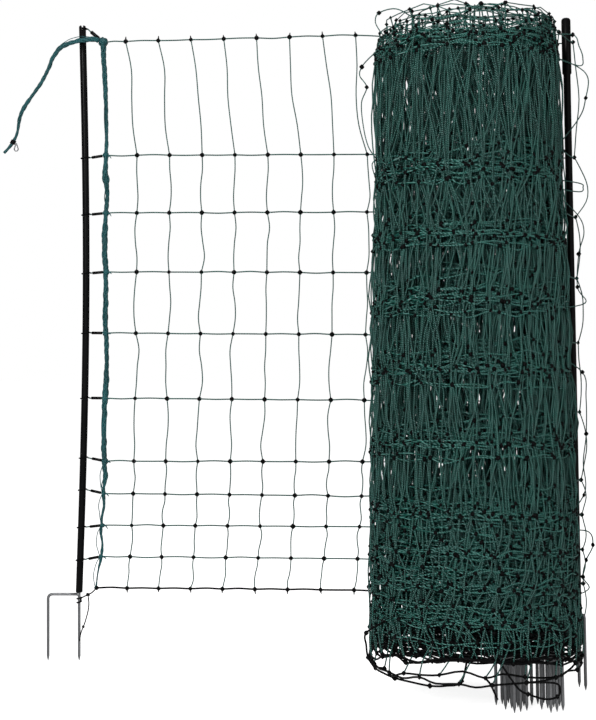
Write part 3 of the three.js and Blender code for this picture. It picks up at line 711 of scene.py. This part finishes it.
def steel_material(name, zinc):
    """Galvanised rod with drawn lines and cloudy zinc."""
    if name in bpy.data.materials:
        return bpy.data.materials[name]
    material, tree, shader, worn = new_material(
        name, worn_surface_group(), {"Grain": 420.0, "Scuff": 130.0, "Stretch": 3.0}, Metallic=0.85
    )
    cloudy = mix_colours(tree, worn["Dust"], scaled(zinc, 0.72), zinc)
    colour = mix_colours(tree, spread(tree, worn["Scuff"], 0.0, 1.0, 0.0, 0.5), cloudy, scaled(zinc, 1.5))
    tree.links.new(colour, shader.inputs["Base Color"])
    tree.links.new(spread(tree, worn["Grain"], 0.3, 0.7, 0.3, 0.5), shader.inputs["Roughness"])
    add_bump(tree, shader, worn["Grain"], 0.1, 0.0004)
    return material


def net_look(context):
    """The green strands."""
    colours = context.scene.netting_colours
    return yarn_material(
        "net_green", scaled(colours.net, 0.15), tuple(colours.net), tuple(colours.net_light), 150.0, wire=0.5
    )


def line_look(context):
    """The horizontal lines, a little paler than the uprights."""
    colours = context.scene.netting_colours
    pale = scaled(colours.net_light, 1.5)
    dark, base = scaled(colours.net, 0.5), scaled(colours.net, 1.3)
    return yarn_material("line_green", dark, base, pale, 150.0, wire=0.6)


def knot_look(context):
    """Knots and the black bottom line."""
    black = tuple(context.scene.netting_colours.black)
    return yarn_material("net_black", scaled(black, 0.6), black, scaled(black, 3.0), 120.0, gloss=0.06)


def cord_look(context):
    """The teal link cord and its lead."""
    cord = tuple(context.scene.netting_colours.cord)
    dark, light = scaled(cord, 0.25), scaled(cord, 3.2)
    return yarn_material("cord_teal", dark, cord, light, 240.0, wire=0.3, gloss=0.18)


def tie_look(context):
    """Black cord of the foot tie and the binding."""
    black = tuple(context.scene.netting_colours.black)
    return yarn_material("tie_black", black, scaled(black, 1.8), scaled(black, 6.0), 260.0, gloss=0.08)


def post_look(context):
    """Plastic of the posts."""
    black = tuple(context.scene.netting_colours.black)
    return plastic_material("post_black", scaled(black, 1.3), (0.009, 0.009, 0.01), (0.01, 0.01, 0.01), 14.0)


def sleeve_look(context):
    """Plastic of the line sleeves."""
    black = tuple(context.scene.netting_colours.black)
    scuffed, dusty = (0.007, 0.007, 0.007), (0.008, 0.008, 0.008)
    return plastic_material("sleeve_black", black, scuffed, dusty, 2.0, (0.3, 0.5))


def spike_look(context):
    """Galvanised steel of the double spikes."""
    return steel_material("spike_zinc", tuple(context.scene.netting_colours.steel))


# Pieces.


def ring_path(centre, radius, tilt=0.0, points=24):
    """A closed round path about Z that rises by `tilt` towards +X."""
    angle = 2 * math.pi * np.arange(points) / points
    x, y = radius * np.cos(angle), radius * np.sin(angle)
    return np.asarray(centre) + np.stack([x, y, tilt * np.cos(angle)], -1)


def wrap_path(centre, reach, axis, points=20):
    """A closed ring about any axis, for the wraps of a knot."""
    axis = unit(np.asarray(axis, float))
    x = unit(np.cross([0.3, 0.9, 0.2], axis))
    y = np.cross(axis, x)
    angle = 2 * math.pi * np.arange(points) / points
    return np.asarray(centre) + reach * (np.cos(angle)[:, None] * x + np.sin(angle)[:, None] * y)


def cord_knot(shell, centre, size, rng):
    """A pulled-tight knot: a core with wraps round it."""
    core = rounded_form((0.42 * size,) * 3, 2.0, 12, 8)
    shell.copies(core, [centre])
    for axis in ((1, 0.2, 0.1), (0.2, 0.3, 1), (0.7, -0.5, 0.6), (-0.6, 0.3, 0.8)):
        lean = np.asarray(axis) + rng.uniform(-0.15, 0.15, 3)
        shell.tubes([wrap_path(centre, 0.37 * size, lean)], 0.125 * size, 8, closed=True)


def twisted_strands(shell, path, diameters, pitch, strands, rng, looseness=0.12):
    """Strands laid round a path, together as thick as the given diameter at each point."""
    path = np.asarray(path, float)
    ahead = unit(np.gradient(path, axis=0))
    side = unit(np.cross(ahead, [0.05, 1.0, 0.02]))
    other = np.cross(ahead, side)
    step = np.linalg.norm(np.diff(path, axis=0), axis=1)
    angle = 2 * math.pi * np.concatenate([[0], np.cumsum(step)]) / pitch
    diameters = np.broadcast_to(np.asarray(diameters, float), (len(path),))
    strand_radius = diameters * (0.27 if strands == 3 else 0.24)
    for k in range(strands):
        reach = (diameters / 2 - strand_radius) * (1 + looseness * drift(rng, len(path), 9))
        turn = angle + 2 * math.pi * k / strands
        lay = path + reach[:, None] * (np.cos(turn)[:, None] * side + np.sin(turn)[:, None] * other)
        shell.tubes([lay], strand_radius[None], 7)


def add_spike(shell, frame_of):
    """A double spike: its straight prong, its foot step and its second prong, with drawn-out tips."""
    socket = POST_FOOT + SOCKET_DEPTH - 2
    straight = np.array([[0, 0, z] for z in (0, 3, TIP_LENGTH, 60, STEP_HEIGHT, socket)], float)
    radii = np.array([0.5, 1.3, ROD_RADIUS, ROD_RADIUS, ROD_RADIUS, ROD_RADIUS])
    shell.tubes([frame_of(straight)], radii[None], 14)
    bend = [
        (-PRONG_SPACING + BEND_RADIUS * (1 - math.sin(a)), 0, STEP_HEIGHT - BEND_RADIUS * (1 - math.cos(a)))
        for a in np.linspace(0, math.pi / 2, 7)
    ]
    foot = [(-PRONG_SPACING, 0, z) for z in (60, TIP_LENGTH, 3, 0)]
    path = np.array([(0.5, 0, STEP_HEIGHT), (-20, 0, STEP_HEIGHT), *bend, *foot], float)
    radii = np.array([ROD_RADIUS] * (len(path) - 2) + [1.3, 0.5])
    shell.tubes([frame_of(path)], radii[None], 14)
    weld = np.array([[2.2, 0, STEP_HEIGHT], [-5.5, 0, STEP_HEIGHT]], float)
    path = smooth([frame_of(np.linspace(weld[0], weld[1], 5))], 2)
    shell.tubes(path, (ROD_RADIUS + np.array([0.1, 0.5, 0.9, 0.9, 0.8, 0.7, 0.5, 0.3, 0.1]))[None], 14)


def standing(x, y, lean, turned=False):
    """A function that puts points drawn about a post's foot where the leaning post stands."""

    def move(points):
        points = np.asarray(points, float)
        if turned:
            points = np.stack([-points[:, 1], points[:, 0], points[:, 2]], -1)
        z = points[:, 2] * math.cos(lean) - points[:, 1] * math.sin(lean)
        along_y = points[:, 1] * math.cos(lean) + points[:, 2] * math.sin(lean)
        return np.stack([points[:, 0] + x, along_y + y, z], -1)

    return move


def bundle_places():
    """Where each bundled post stands."""
    places, front = [], BUNDLE_FRONT
    for count in CHAINS:
        places += [
            (BUNDLE_RIGHT - CHAIN_STEP[0] * (count - 1 - i), front + CHAIN_STEP[1] * i) for i in range(count)
        ]
        front += CHAIN_STEP[1] * count
    return places


class NETTING_OT_cords(bpy.types.Operator):
    """Make the link cord's free lead and the foot tie's tail"""

    bl_idname = "netting.cords"
    bl_label = "Cords"

    def execute(self, context):
        rng = np.random.default_rng(5)
        look = cord_look(context)
        lead = Shell()
        route = smooth([LEAD_ROUTE], 6)[0]
        swell = np.interp(np.arange(len(route)), (0, 48, 110), (1.5, 1.4, 1.0))
        thickness = LEAD_DIAMETER * swell * (1 + 0.12 * drift(rng, len(route), 12))
        twisted_strands(lead, route, thickness, 56.0, 4, rng, 0.35)
        stray = Shell()
        reach = 58
        arc = np.sin(math.pi * np.linspace(0, 1, reach))[:, None] * [-2.0, 1.0, 8.5]
        stray.tubes([route[:reach] + arc], 0.8, 6)
        stray_piece = stray.make("lead_stray_strand", look, "link_cord")
        lead_piece = lead.make("lead", look, "link_cord", "lead_tail")

        at = np.array(LEAD_ROUTE[BINDING_AFTER], float)
        along = unit(np.array(LEAD_ROUTE[BINDING_AFTER + 1]) - np.array(LEAD_ROUTE[BINDING_AFTER - 1]))
        binding = Shell()
        for k, offset in enumerate(np.linspace(-3.1, 3.1, 4)):
            lean = along + rng.uniform(-0.1, 0.1, 3)
            binding.tubes([wrap_path(at + along * offset, 4.3, lean)], 1.25, 8, closed=True)
        binding_piece = binding.make("binding", tie_look(context), "black_tie", "lead_binding")

        wire = Shell()
        side = np.array([-along[2], 0, along[0]])
        root = at - along + side * (11.5 / 2 + GAP + 0.8)
        drop = [(0, 0), (-1.4, -3.5), (-2.9, -7.5), (-4.0, -11), (-2.8, -14.2), (0, -15.3)]
        drop += [(-x, z) for x, z in reversed(drop[1:-1])]
        points = np.array([(root[0] + x, root[1], root[2] + z) for x, z in drop])
        closed = smooth([np.vstack([points[-1:], points, points[:2]])], 4)[0][4:-4]
        wire.tubes([closed[:-1]], 1.2, 8, closed=True)
        wire_piece = wire.make("wire_loop", spike_look(context), "galvanised_steel", "lead_wire_loop")

        self.declare(lead_piece, route, LEAD_DIAMETER, [binding_piece, wire_piece, stray_piece])

        tail = Shell()
        route = smooth([TIE_TAIL_ROUTE], 5)[0]
        twisted_strands(tail, route, TIE_DIAMETER, 9.0, 3, rng, 0.0)
        tail_piece = tail.make("tie_tail", tie_look(context), "black_tie", "foot_tie_tail")
        stopper = Shell()
        cord_knot(stopper, TIE_TAIL_ROUTE[11], 6.4, rng)
        stopper_piece = stopper.make("tie_tail_knot", tie_look(context), "black_tie")
        self.declare(tail_piece, route, TIE_DIAMETER, [stopper_piece])
        return {"FINISHED"}

    def declare(self, piece, route, diameter, others):
        """Does nothing; the piece, its route in millimetres, its diameter and the other pieces are not used.
        """


class NETTING_OT_link_cord(bpy.types.Operator):
    """Make the link cord and its knots on the lines"""

    bl_idname = "netting.link_cord"
    bl_label = "Link cord"

    def execute(self, context):
        rng = np.random.default_rng(11)
        pitch = context.scene.netting_sizes.twist * 1000
        cord = Shell()
        nodes = [on_line(i, LINK_X[i]) for i in range(len(LINES))]
        points, diameters = [nodes[0]], [LINK_DIAMETERS[0]]
        for i, diameter in enumerate(LINK_DIAMETERS):
            middle = (nodes[i] + nodes[i + 1]) / 2
            middle[0] += 4 if i == 0 else math.sin(2 * i)
            points += [middle, nodes[i + 1]]
            diameters += [diameter, diameter]
        path = smooth([points], 22)[0]
        thickness = np.interp(np.linspace(0, 1, len(path)), np.linspace(0, 1, len(diameters)), diameters)
        thickness = thickness * (1.25 + 0.35 * drift(rng, len(path), 15))
        sway = np.column_stack([2.6 * drift(rng, len(path), 19), np.zeros(len(path)), np.zeros(len(path))])
        twisted_strands(cord, path + sway, thickness, pitch, 4, rng, 0.4)
        for k, share in enumerate((0.72, 0.6, 0.45)):
            part = path[: int(len(path) * share)]
            sway = 4.2 * np.stack([drift(rng, len(part), 11 + 3 * k), drift(rng, len(part), 14)], -1)
            loose = part + np.column_stack([sway[:, 0], sway[:, 1] - 3, np.zeros(len(part))])
            cord.tubes([loose], 1.0, 6)
        for i in range(5, 10):
            start, end = nodes[i] + [-2, -3, 0], nodes[i + 1] + [-2, -3, 0]
            strands = wavy_uprights(start[None], end[None], rng, 3.0, 4, 4)
            away = np.sin(math.pi * np.linspace(0, 1, strands.shape[1]))[None, :, None]
            cord.tubes(strands + away * [-7.0, -1.0, 0], 0.9, 6)
        cord_knot(cord, nodes[0], 21.0, rng)
        for i in range(1, 10):
            size = min(14, LINK_DIAMETERS[i - 1] + 5)
            cord_knot(cord, nodes[i], size, rng)
            tail = nodes[i] + np.array([[2, -1, 0], [7, -3, -1], [11, -3, -4 - 3 * math.sin(i)]])
            path = smooth([tail], 4)
            cord.tubes(path, np.linspace(2.3, 0.7, path.shape[1])[None], 7)
        cord.make("cord", cord_look(context), "link_cord", "link_cord")
        return {"FINISHED"}


class NETTING_OT_end_post(bpy.types.Operator):
    """Make the end post with its notched top, and its line sleeves"""

    bl_idname = "netting.end_post"
    bl_label = "End post"

    def execute(self, context):
        post = Shell()
        body = np.linspace(POST_FOOT + 60, POST_TOP - SLOT_DEPTH, 20)
        heights = np.concatenate([[POST_FOOT, POST_FOOT + 1], body])
        path = np.stack([end_post_x(heights), np.zeros(len(heights)), heights], -1)
        radii = np.full(len(heights), POST_RADIUS)
        radii[0] = POST_RADIUS - 0.8
        post.tubes([path], radii[None], 28)
        for side in (-1, 1):
            post.add(*self.lobe(side))
        post.make("end_post_tube", post_look(context), "post_plastic", "end_post")
        for i in range(len(LINES) - 1):
            self.sleeve(context, i)
        return {"FINISHED"}

    def lobe(self, side):
        """One half of the post's top, beside the slot, with a rounded crown."""
        angle = np.linspace(-1, 1, 13) * math.acos(SLOT_WIDTH / 2 / POST_RADIUS)
        rows = []
        crown = ((-1.5, 1.0), (SLOT_DEPTH - 3.2, 1.0), (SLOT_DEPTH - 1.2, 0.9), (SLOT_DEPTH, 0.62))
        for lift, shrink in crown:
            height = POST_TOP - SLOT_DEPTH + lift
            x = SLOT_WIDTH / 2 + (POST_RADIUS * np.cos(angle) - SLOT_WIDTH / 2) * shrink
            y = POST_RADIUS * np.sin(angle) * shrink
            rows.append(np.stack([end_post_x(height) + side * x, side * y, np.full(13, height)], -1))
        index = np.arange(4 * 13).reshape(4, 13)
        quads = np.stack([index[:-1], np.roll(index[:-1], -1, 1), np.roll(index[1:], -1, 1), index[1:]], -1)
        return np.vstack(rows), quads.reshape(-1, 4), index[:1, ::-1], index[-1:]

    def sleeve(self, context, i):
        """The sleeve that closes a line's loop."""
        start, end = loop_end(i), on_line(i, LINK_X[i])
        along = unit(end - start)
        knot = 22 if i == 0 else min(14, LINK_DIAMETERS[i - 1] + 5)
        free = np.linalg.norm(end - start) - knot / 2 - GAP
        length = min(21 if i == 0 else 22, free - GAP)
        radius = (7.4 if i == 0 else 5.8) / 2
        first = start + along * (free - length)
        profile = [
            (1.8, 0.2), (radius - 0.5, 0), (radius, 0.7), (radius * 0.97, length / 2), (radius, length - 0.7),
            (radius - 0.5, length), (1.8, length - 0.2), (1.8, 0.2),
        ]
        sleeve = Shell()
        sleeve.turned(profile, first, along, 20)
        name = f"{i + 1:02d}"
        sleeve.make("sleeve_" + name, sleeve_look(context), "sleeve_plastic", "line_sleeve_" + name)


class NETTING_OT_spikes(bpy.types.Operator):
    """Make the fourteen double spikes"""

    bl_idname = "netting.spikes"
    bl_label = "Double spikes"

    def execute(self, context):
        look = spike_look(context)
        spots = [("end_spike", standing(end_post_x(POST_FOOT), 0, 0))]
        spots += [(f"spike_{i + 2:02d}", standing(x, y, LEAN)) for i, (x, y) in enumerate(bundle_places())]
        spots.append(("spike_14", standing(OUTER_X, OUTER_Y, OUTER_LEAN, turned=True)))
        for node, move in spots:
            spike = Shell()
            add_spike(spike, move)
            spike.make("rod_" + node, look, "galvanised_steel", node)
        return {"FINISHED"}


class NETTING_OT_roll_posts(bpy.types.Operator):
    """Make the post that leans on the roll, and finish the bundled ones"""

    bl_idname = "netting.roll_posts"
    bl_label = "Roll posts"

    def execute(self, context):
        look = post_look(context)
        for i in range(len(bundle_places())):
            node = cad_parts[f"post_{i + 2:02d}"]
            node.data.materials.clear()
            node.data.materials.append(look)
        cap_foot = POST_TOP - CAP_LENGTH
        profile = [
            (0.01, POST_FOOT + SOCKET_DEPTH), (3.3, POST_FOOT + SOCKET_DEPTH), (3.3, POST_FOOT),
            (POST_RADIUS - 0.8, POST_FOOT), (POST_RADIUS, POST_FOOT + 1), (POST_RADIUS, cap_foot - 1),
            (CAP_RADIUS - 0.9, cap_foot - 0.2), (CAP_RADIUS, cap_foot + 1), (CAP_RADIUS, POST_TOP - 5),
            (CAP_RADIUS - 0.8, POST_TOP - 2.4), (CAP_RADIUS - 2.6, POST_TOP - 0.6),
            (CAP_RADIUS - 5, POST_TOP), (0.01, POST_TOP),
        ]
        along = (0, math.sin(OUTER_LEAN), math.cos(OUTER_LEAN))
        post = Shell()
        post.turned(profile, (OUTER_X, OUTER_Y, 0), along, 28)
        post.make("outer_post_tube", look, "post_plastic", "post_14")
        return {"FINISHED"}


def knot_forms(size):
    """A detailed knot for the stretched net, a plainer one for the roll's face and one for its depth."""
    half = size / 2
    fine = rounded_form((half * 1.05, half * 0.68, half), 1.25, 12, 8)
    plain = rounded_form((half, half * 0.8, half * 0.95), 1.35, 6, 4)
    rough = rounded_form((half * 0.95, half * 0.8, half * 0.9), 1.5, 4, 2)
    return fine, plain, rough


class NETTING_OT_panel(bpy.types.Operator):
    """Make the stretched net between the end post and the roll"""

    bl_idname = "netting.panel"
    bl_label = "Stretched net"

    def execute(self, context):
        sizes = context.scene.netting_sizes
        strand = sizes.strand * 560
        rng = np.random.default_rng(23)
        knots = panel_knots()
        roll_edge = wound_knots(sizes.turns, sizes.slump * 1000)[0]
        green, black = Shell(), Shell()
        for i in range(len(LINES)):
            bottom = i == len(LINES) - 1
            start = [on_line(i, LINK_X[i])] if bottom else [loop_end(i), on_line(i, LINK_X[i])]
            near = [k for k in knots[i] if k[0] < roll_edge[i][0] - 20]
            nodes = np.array([[*start, *near, roll_edge[i]]])
            path = wavy_lines(nodes, rng, (1.0, 2.0, 1.7), 4)
            (black if bottom else green).tubes(path, sizes.bottom_line * 500 if bottom else strand * 1.05, 6)
        self.loops(black, strand)
        for i in range(1, len(LINES)):
            tall = LINES[i - 1][0] - LINES[i][0]
            bow = 0.034 * tall + 1.2
            green.tubes(wavy_uprights(knots[i - 1], knots[i], rng, bow, 3, 4), strand, 6)
        fine = knot_forms(sizes.knot * 1000)[0]
        for i in range(len(LINES)):
            turn = math.atan2(line_end(i)[1], line_end(i)[0])
            count = len(knots[i])
            spread_sizes = rng.uniform(0.88, 1.1, count)
            black.copies(fine, knots[i], spread_sizes, turn + rng.uniform(-0.3, 0.3, count))
        black.copies(fine, [on_line(10, LINK_X[10])], 1.0)
        self.nubs(black, knots[0], 1, rng)
        self.nubs(black, knots[-1], -1, rng)
        green.make("panel_strands", net_look(context), "net_twine", "net_panel")
        black.make("panel_knots", knot_look(context), "net_twine")
        return {"FINISHED"}

    def loops(self, shell, strand):
        """The lines' loops on the end post."""
        reach = POST_RADIUS + GAP + strand
        for i in range(1, len(LINES) - 1):
            height = LINES[i][0] + LINES[i][3]
            shell.tubes([ring_path((end_post_x(height), 0, height), reach, 1.2)], strand, 7, closed=True)
        x, z = end_post_x(POST_TOP), POST_TOP - SLOT_DEPTH + strand + GAP + 1.5
        start = loop_end(0)
        route = [start, (x + 6.4, -reach + 1, z), (x + 2, -reach, z), (x, -reach + 2, z), (x, 0, z)]
        route += [(x, reach - 2, z), (x + 2, reach, z), (x + 6.4, reach - 1, z), start]
        shell.tubes(smooth([route], 4), strand, 7)

    def nubs(self, shell, knots, side, rng):
        """The uprights' ends, which stand up above the top line and down below the bottom line."""
        for knot in knots:
            tip = knot + [rng.uniform(-1.5, 1.5), rng.uniform(-1, 1), side * rng.uniform(7.5, 10)]
            path = np.array([[knot, (knot + tip) / 2, tip]])
            shell.tubes(path, np.array([[2.2, 1.7, 0.9]]), 6)


class NETTING_OT_roll(bpy.types.Operator):
    """Make the wound net of the roll"""

    bl_idname = "netting.roll"
    bl_label = "Roll of net"

    def execute(self, context):
        sizes = context.scene.netting_sizes
        strand = sizes.strand * 500
        knots = wound_knots(sizes.turns, sizes.slump * 1000)
        face = int(np.searchsorted(column_angles(sizes.turns), 2 * math.pi * FACE_TURNS))
        rng = np.random.default_rng(67)
        lines, upper, lower, black, dots = (Shell() for _ in range(5))
        by_line = knots.transpose(1, 0, 2)
        outer, inner = by_line[:, : face + 1], by_line[:, face:]
        lines.tubes(wavy_lines(outer[:-1], rng, (6, 6, 9), 3), strand * 1.05, 4)
        lines.tubes(wavy_lines(inner[:-1], rng, (4, 4, 8), 1), strand * 1.05, 3)
        bottom = sizes.bottom_line * 500
        black.tubes(wavy_lines(outer[-1:], rng, (6, 6, 10), 3), bottom, 5)
        black.tubes(wavy_lines(inner[-1:], rng, (4, 4, 8), 1), bottom, 4)
        for i in range(1, len(LINES)):
            tall = LINES[i - 1][0] - LINES[i][0]
            cuts, steps = (3, 2) if tall > 150 else (2, 2) if tall > 90 else (1, 2)
            bow = 0.028 * tall + 3.5
            tops, ends = by_line[i - 1], by_line[i]
            uprights = upper if i <= TALL_ROWS else lower
            uprights.tubes(wavy_uprights(tops[:face], ends[:face], rng, bow, cuts, steps), strand * 1.1, 4)
            uprights.tubes(wavy_uprights(tops[face:], ends[face:], rng, bow, cuts, 1), strand * 1.2, 3)
        _, plain, rough = knot_forms(sizes.knot * 1000)
        near, deep = knots[:face].reshape(-1, 3), knots[face:].reshape(-1, 3)
        dots.copies(plain, near, rng.uniform(0.8, 1.1, len(near)), rng.uniform(0, math.pi, len(near)))
        dots.copies(rough, deep, rng.uniform(0.8, 1.0, len(deep)), rng.uniform(0, math.pi, len(deep)))
        lines.make("roll_lines", line_look(context), "net_twine", "net_roll")
        upper.make("roll_uprights_upper", net_look(context), "net_twine")
        lower.make("roll_uprights_lower", net_look(context), "net_twine")
        black.make("roll_bottom_line", knot_look(context), "net_twine")
        dots.make("roll_knots", knot_look(context), "net_twine")
        return {"FINISHED"}


class NETTING_OT_outer_turn(bpy.types.Operator):
    """Make the last turn of net round the outer post"""

    bl_idname = "netting.outer_turn"
    bl_label = "Outer turn"

    def execute(self, context):
        sizes = context.scene.netting_sizes
        strand = sizes.strand * 500
        rng = np.random.default_rng(91)
        green, black = Shell(), Shell()
        columns = []
        for i in range(len(LINES)):
            front, middle, corners, back = self.run(i)
            nodes = np.array([front, middle, *corners, back])
            path = smooth([nodes], 5)
            bottom = i == len(LINES) - 1
            (black if bottom else green).tubes(path, sizes.bottom_line * 500 if bottom else strand * 1.05, 6)
            side = (corners[1] + corners[2]) / 2 + [2.4, 0, 0]
            columns.append((middle, side))
        columns = np.array(columns)
        for i in range(1, len(LINES)):
            tall = LINES[i - 1][0] - LINES[i][0]
            paths = wavy_uprights(columns[i - 1], columns[i], rng, 0.03 * tall + 1, 3, 3)
            away = np.sin(math.pi * np.linspace(0, 1, paths.shape[1]))[:, None]
            paths[1] += away * [SIDE_BOWS[i - 1], -2.0, 0]
            green.tubes(paths, strand, 6)
        fine = knot_forms(sizes.knot * 1000)[0]
        black.copies(fine, columns.reshape(-1, 3), 0.9, rng.uniform(-1, 1, columns.shape[0] * 2))
        green.make("outer_strands", net_look(context), "net_twine", "net_outer_turn")
        black.make("outer_knots", knot_look(context), "net_twine")
        return {"FINISHED"}

    def run(self, i):
        """One line from the roll's front, round the post and back to the roll."""
        height = LINES[i][0] - OUTER_DROP
        post_y = OUTER_Y + height * math.tan(OUTER_LEAN)
        radius = CAP_RADIUS if height > POST_TOP - CAP_LENGTH - 20 else POST_RADIUS
        reach = (radius + GAP + 1.3) / math.cos(math.pi / 8)
        round_post = [t * math.pi for t in (-0.375, -0.125, 0.125, 0.375, 0.625)]
        corners = [
            np.array([OUTER_X + reach * math.cos(t), post_y + reach * math.sin(t), height])
            for t in round_post
        ]
        room = float(roll_radius(height)) - INTO_ROLL
        front = touch_point(corners[0], height, room, 1)
        back = touch_point(corners[-1], height, room, -1)
        return front, front * 0.55 + corners[0] * 0.45, corners, back


class NETTING_OT_loose_loops(bpy.types.Operator):
    """Make the loose loops of net that stand off the roll"""

    bl_idname = "netting.loose_loops"
    bl_label = "Loose loops"

    def execute(self, context):
        sizes = context.scene.netting_sizes
        rng = np.random.default_rng(37)
        fine = knot_forms(sizes.knot * 1000)[0]
        green, black = Shell(), Shell()
        anchors = wound_knots(sizes.turns, sizes.slump * 1000).reshape(-1, 3)
        for kind, knotted, points in LOOSE_LOOPS:
            points = [self.tied(points[0], anchors), *points[1:]]
            if len(points) > 3:
                points[-1] = self.tied(points[-1], anchors)
            bottom = kind == "bottom"
            shell, thick = (black, sizes.bottom_line) if bottom else (green, sizes.strand)
            shell.tubes(smooth([points], 6), thick * 500, 6)
            for place in knotted:
                black.copies(fine, [points[place]], rng.uniform(0.85, 1.05), [rng.uniform(-1, 1)])
        green.make("loose_strands", net_look(context), "net_twine")
        black.make("loose_knots", knot_look(context), "net_twine")
        return {"FINISHED"}

    def tied(self, point, anchors):
        """The knot of the roll that is nearest to a loop's end."""
        return tuple(anchors[np.argmin(np.linalg.norm(anchors - np.asarray(point, float), axis=1))])


class NETTING_OT_foot_tie(bpy.types.Operator):
    """Make the tie at the end post's foot"""

    bl_idname = "netting.foot_tie"
    bl_label = "Foot tie"

    def execute(self, context):
        rng = np.random.default_rng(3)
        tie = Shell()
        radius = TIE_DIAMETER / 2
        prong = float(end_post_x(POST_FOOT))
        reach = ROD_RADIUS + GAP + radius
        for height in TIE_TURNS:
            tie.tubes([ring_path((prong, 0, height), reach, 1.5)], radius, 8, closed=True)
        rise = [(prong + reach, 0, height) for height in reversed(TIE_TURNS)]
        tie.tubes(smooth([[*rise, TIE_KNOT]], 4), radius, 8)
        cord_knot(tie, TIE_KNOT, 8.6, rng)
        end = on_line(10, LINK_X[10])
        middle = (np.array(TIE_KNOT) + end) / 2 + [0, -1, -2]
        tie.tubes(smooth([[TIE_KNOT, middle, end]], 5), radius, 8)
        tie.make("tie_turns", tie_look(context), "black_tie", "foot_tie")
        return {"FINISHED"}


class NETTING_OT_stage(bpy.types.Operator):
    """Set the camera, the pale floor and the soft light"""

    bl_idname = "netting.stage"
    bl_label = "Stage"

    def execute(self, context):
        scene = context.scene
        lens = bpy.data.cameras.new("camera")
        lens.lens = LENS
        lens.sensor_width = 36
        lens.clip_end = 100
        camera = bpy.data.objects.new("camera", lens)
        camera.location = CAMERA_PLACE
        camera.rotation_euler = (math.pi / 2, 0, 0)
        scene.collection.objects.link(camera)
        scene.camera = camera
        self.floor(scene)
        for lamp in LAMPS:
            self.light(scene, *lamp)
        world = scene.world or bpy.data.worlds.new("world")
        scene.world = world
        world.use_nodes = True
        tree = world.node_tree
        sky = tree.nodes["Background"]
        sky.inputs["Color"].default_value = (1, 1, 1, 1)
        seen = tree.nodes.new("ShaderNodeLightPath").outputs["Is Camera Ray"]
        tree.links.new(spread(tree, seen, 0.0, 1.0, SKY_LIGHT, 1.0), sky.inputs["Strength"])
        scene.view_settings.view_transform = "Standard"
        return {"FINISHED"}

    def floor(self, scene):
        """A plain pale floor."""
        mesh = bpy.data.meshes.new("floor")
        half = FLOOR_HALF
        corners = [(-half, -half), (half, -half), (half, half), (-half, half)]
        points = [(x, y, z) for z in (-FLOOR_THICKNESS, 0) for x, y in corners]
        faces = [(3, 2, 1, 0), (4, 5, 6, 7), (0, 1, 5, 4), (1, 2, 6, 5), (2, 3, 7, 6), (3, 0, 4, 7)]
        mesh.from_pydata(points, [], faces)
        pale = bpy.data.materials.new("floor")
        pale.use_nodes = True
        shader = pale.node_tree.nodes["Principled BSDF"]
        shader.inputs["Base Color"].default_value = (0.93, 0.93, 0.93, 1)
        shader.inputs["Roughness"].default_value = 0.9
        shader.inputs["Emission Color"].default_value = (1, 1, 1, 1)
        seen = pale.node_tree.nodes.new("ShaderNodeLightPath").outputs["Is Camera Ray"]
        glow = calculate(pale.node_tree, "MULTIPLY", seen, FLOOR_GLOW)
        pale.node_tree.links.new(glow, shader.inputs["Emission Strength"])
        mesh.materials.append(pale)
        floor = bpy.data.objects.new("floor", mesh)
        scene.collection.objects.link(floor)

    def light(self, scene, name, place, power, size):
        """A soft lamp that points at the net's middle."""
        lamp = bpy.data.lights.new(name, "AREA")
        lamp.energy = power
        lamp.size = size
        made = bpy.data.objects.new(name, lamp)
        made.location = place
        aim = np.array(AIM) - np.array(place)
        made.rotation_euler = (
            math.atan2(math.hypot(aim[0], aim[1]), -aim[2]), 0, math.atan2(aim[1], aim[0]) - math.pi / 2
        )
        scene.collection.objects.link(made)


class NETTING_PT_panel(bpy.types.Panel):
    """Lists the netting's pieces, sizes and colours"""

    bl_idname = "NETTING_PT_panel"
    bl_label = "Electric poultry netting"
    bl_space_type = "VIEW_3D"
    bl_region_type = "UI"
    bl_category = "Netting"

    def draw(self, context):
        for step in STEPS:
            self.layout.operator(step.bl_idname)
        for group in (context.scene.netting_sizes, context.scene.netting_colours):
            for name in group.__annotations__:
                self.layout.prop(group, name)


STEPS = (
    NETTING_OT_stage,
    NETTING_OT_cords,
    NETTING_OT_link_cord,
    NETTING_OT_end_post,
    NETTING_OT_spikes,
    NETTING_OT_roll_posts,
    NETTING_OT_panel,
    NETTING_OT_roll,
    NETTING_OT_outer_turn,
    NETTING_OT_loose_loops,
    NETTING_OT_foot_tie,
)
CLASSES = (NettingSizes, NettingColours, *STEPS, NETTING_PT_panel)


def register():
    for cls in CLASSES:
        bpy.utils.register_class(cls)
    bpy.types.Scene.netting_sizes = bpy.props.PointerProperty(type=NettingSizes)
    bpy.types.Scene.netting_colours = bpy.props.PointerProperty(type=NettingColours)


def unregister():
    del bpy.types.Scene.netting_sizes
    del bpy.types.Scene.netting_colours
    for cls in reversed(CLASSES):
        bpy.utils.unregister_class(cls)


def main():
    register()
    for step in STEPS:
        area, name = step.bl_idname.split(".")
        getattr(getattr(bpy.ops, area), name)()


if __name__ == "__main__":
    main()
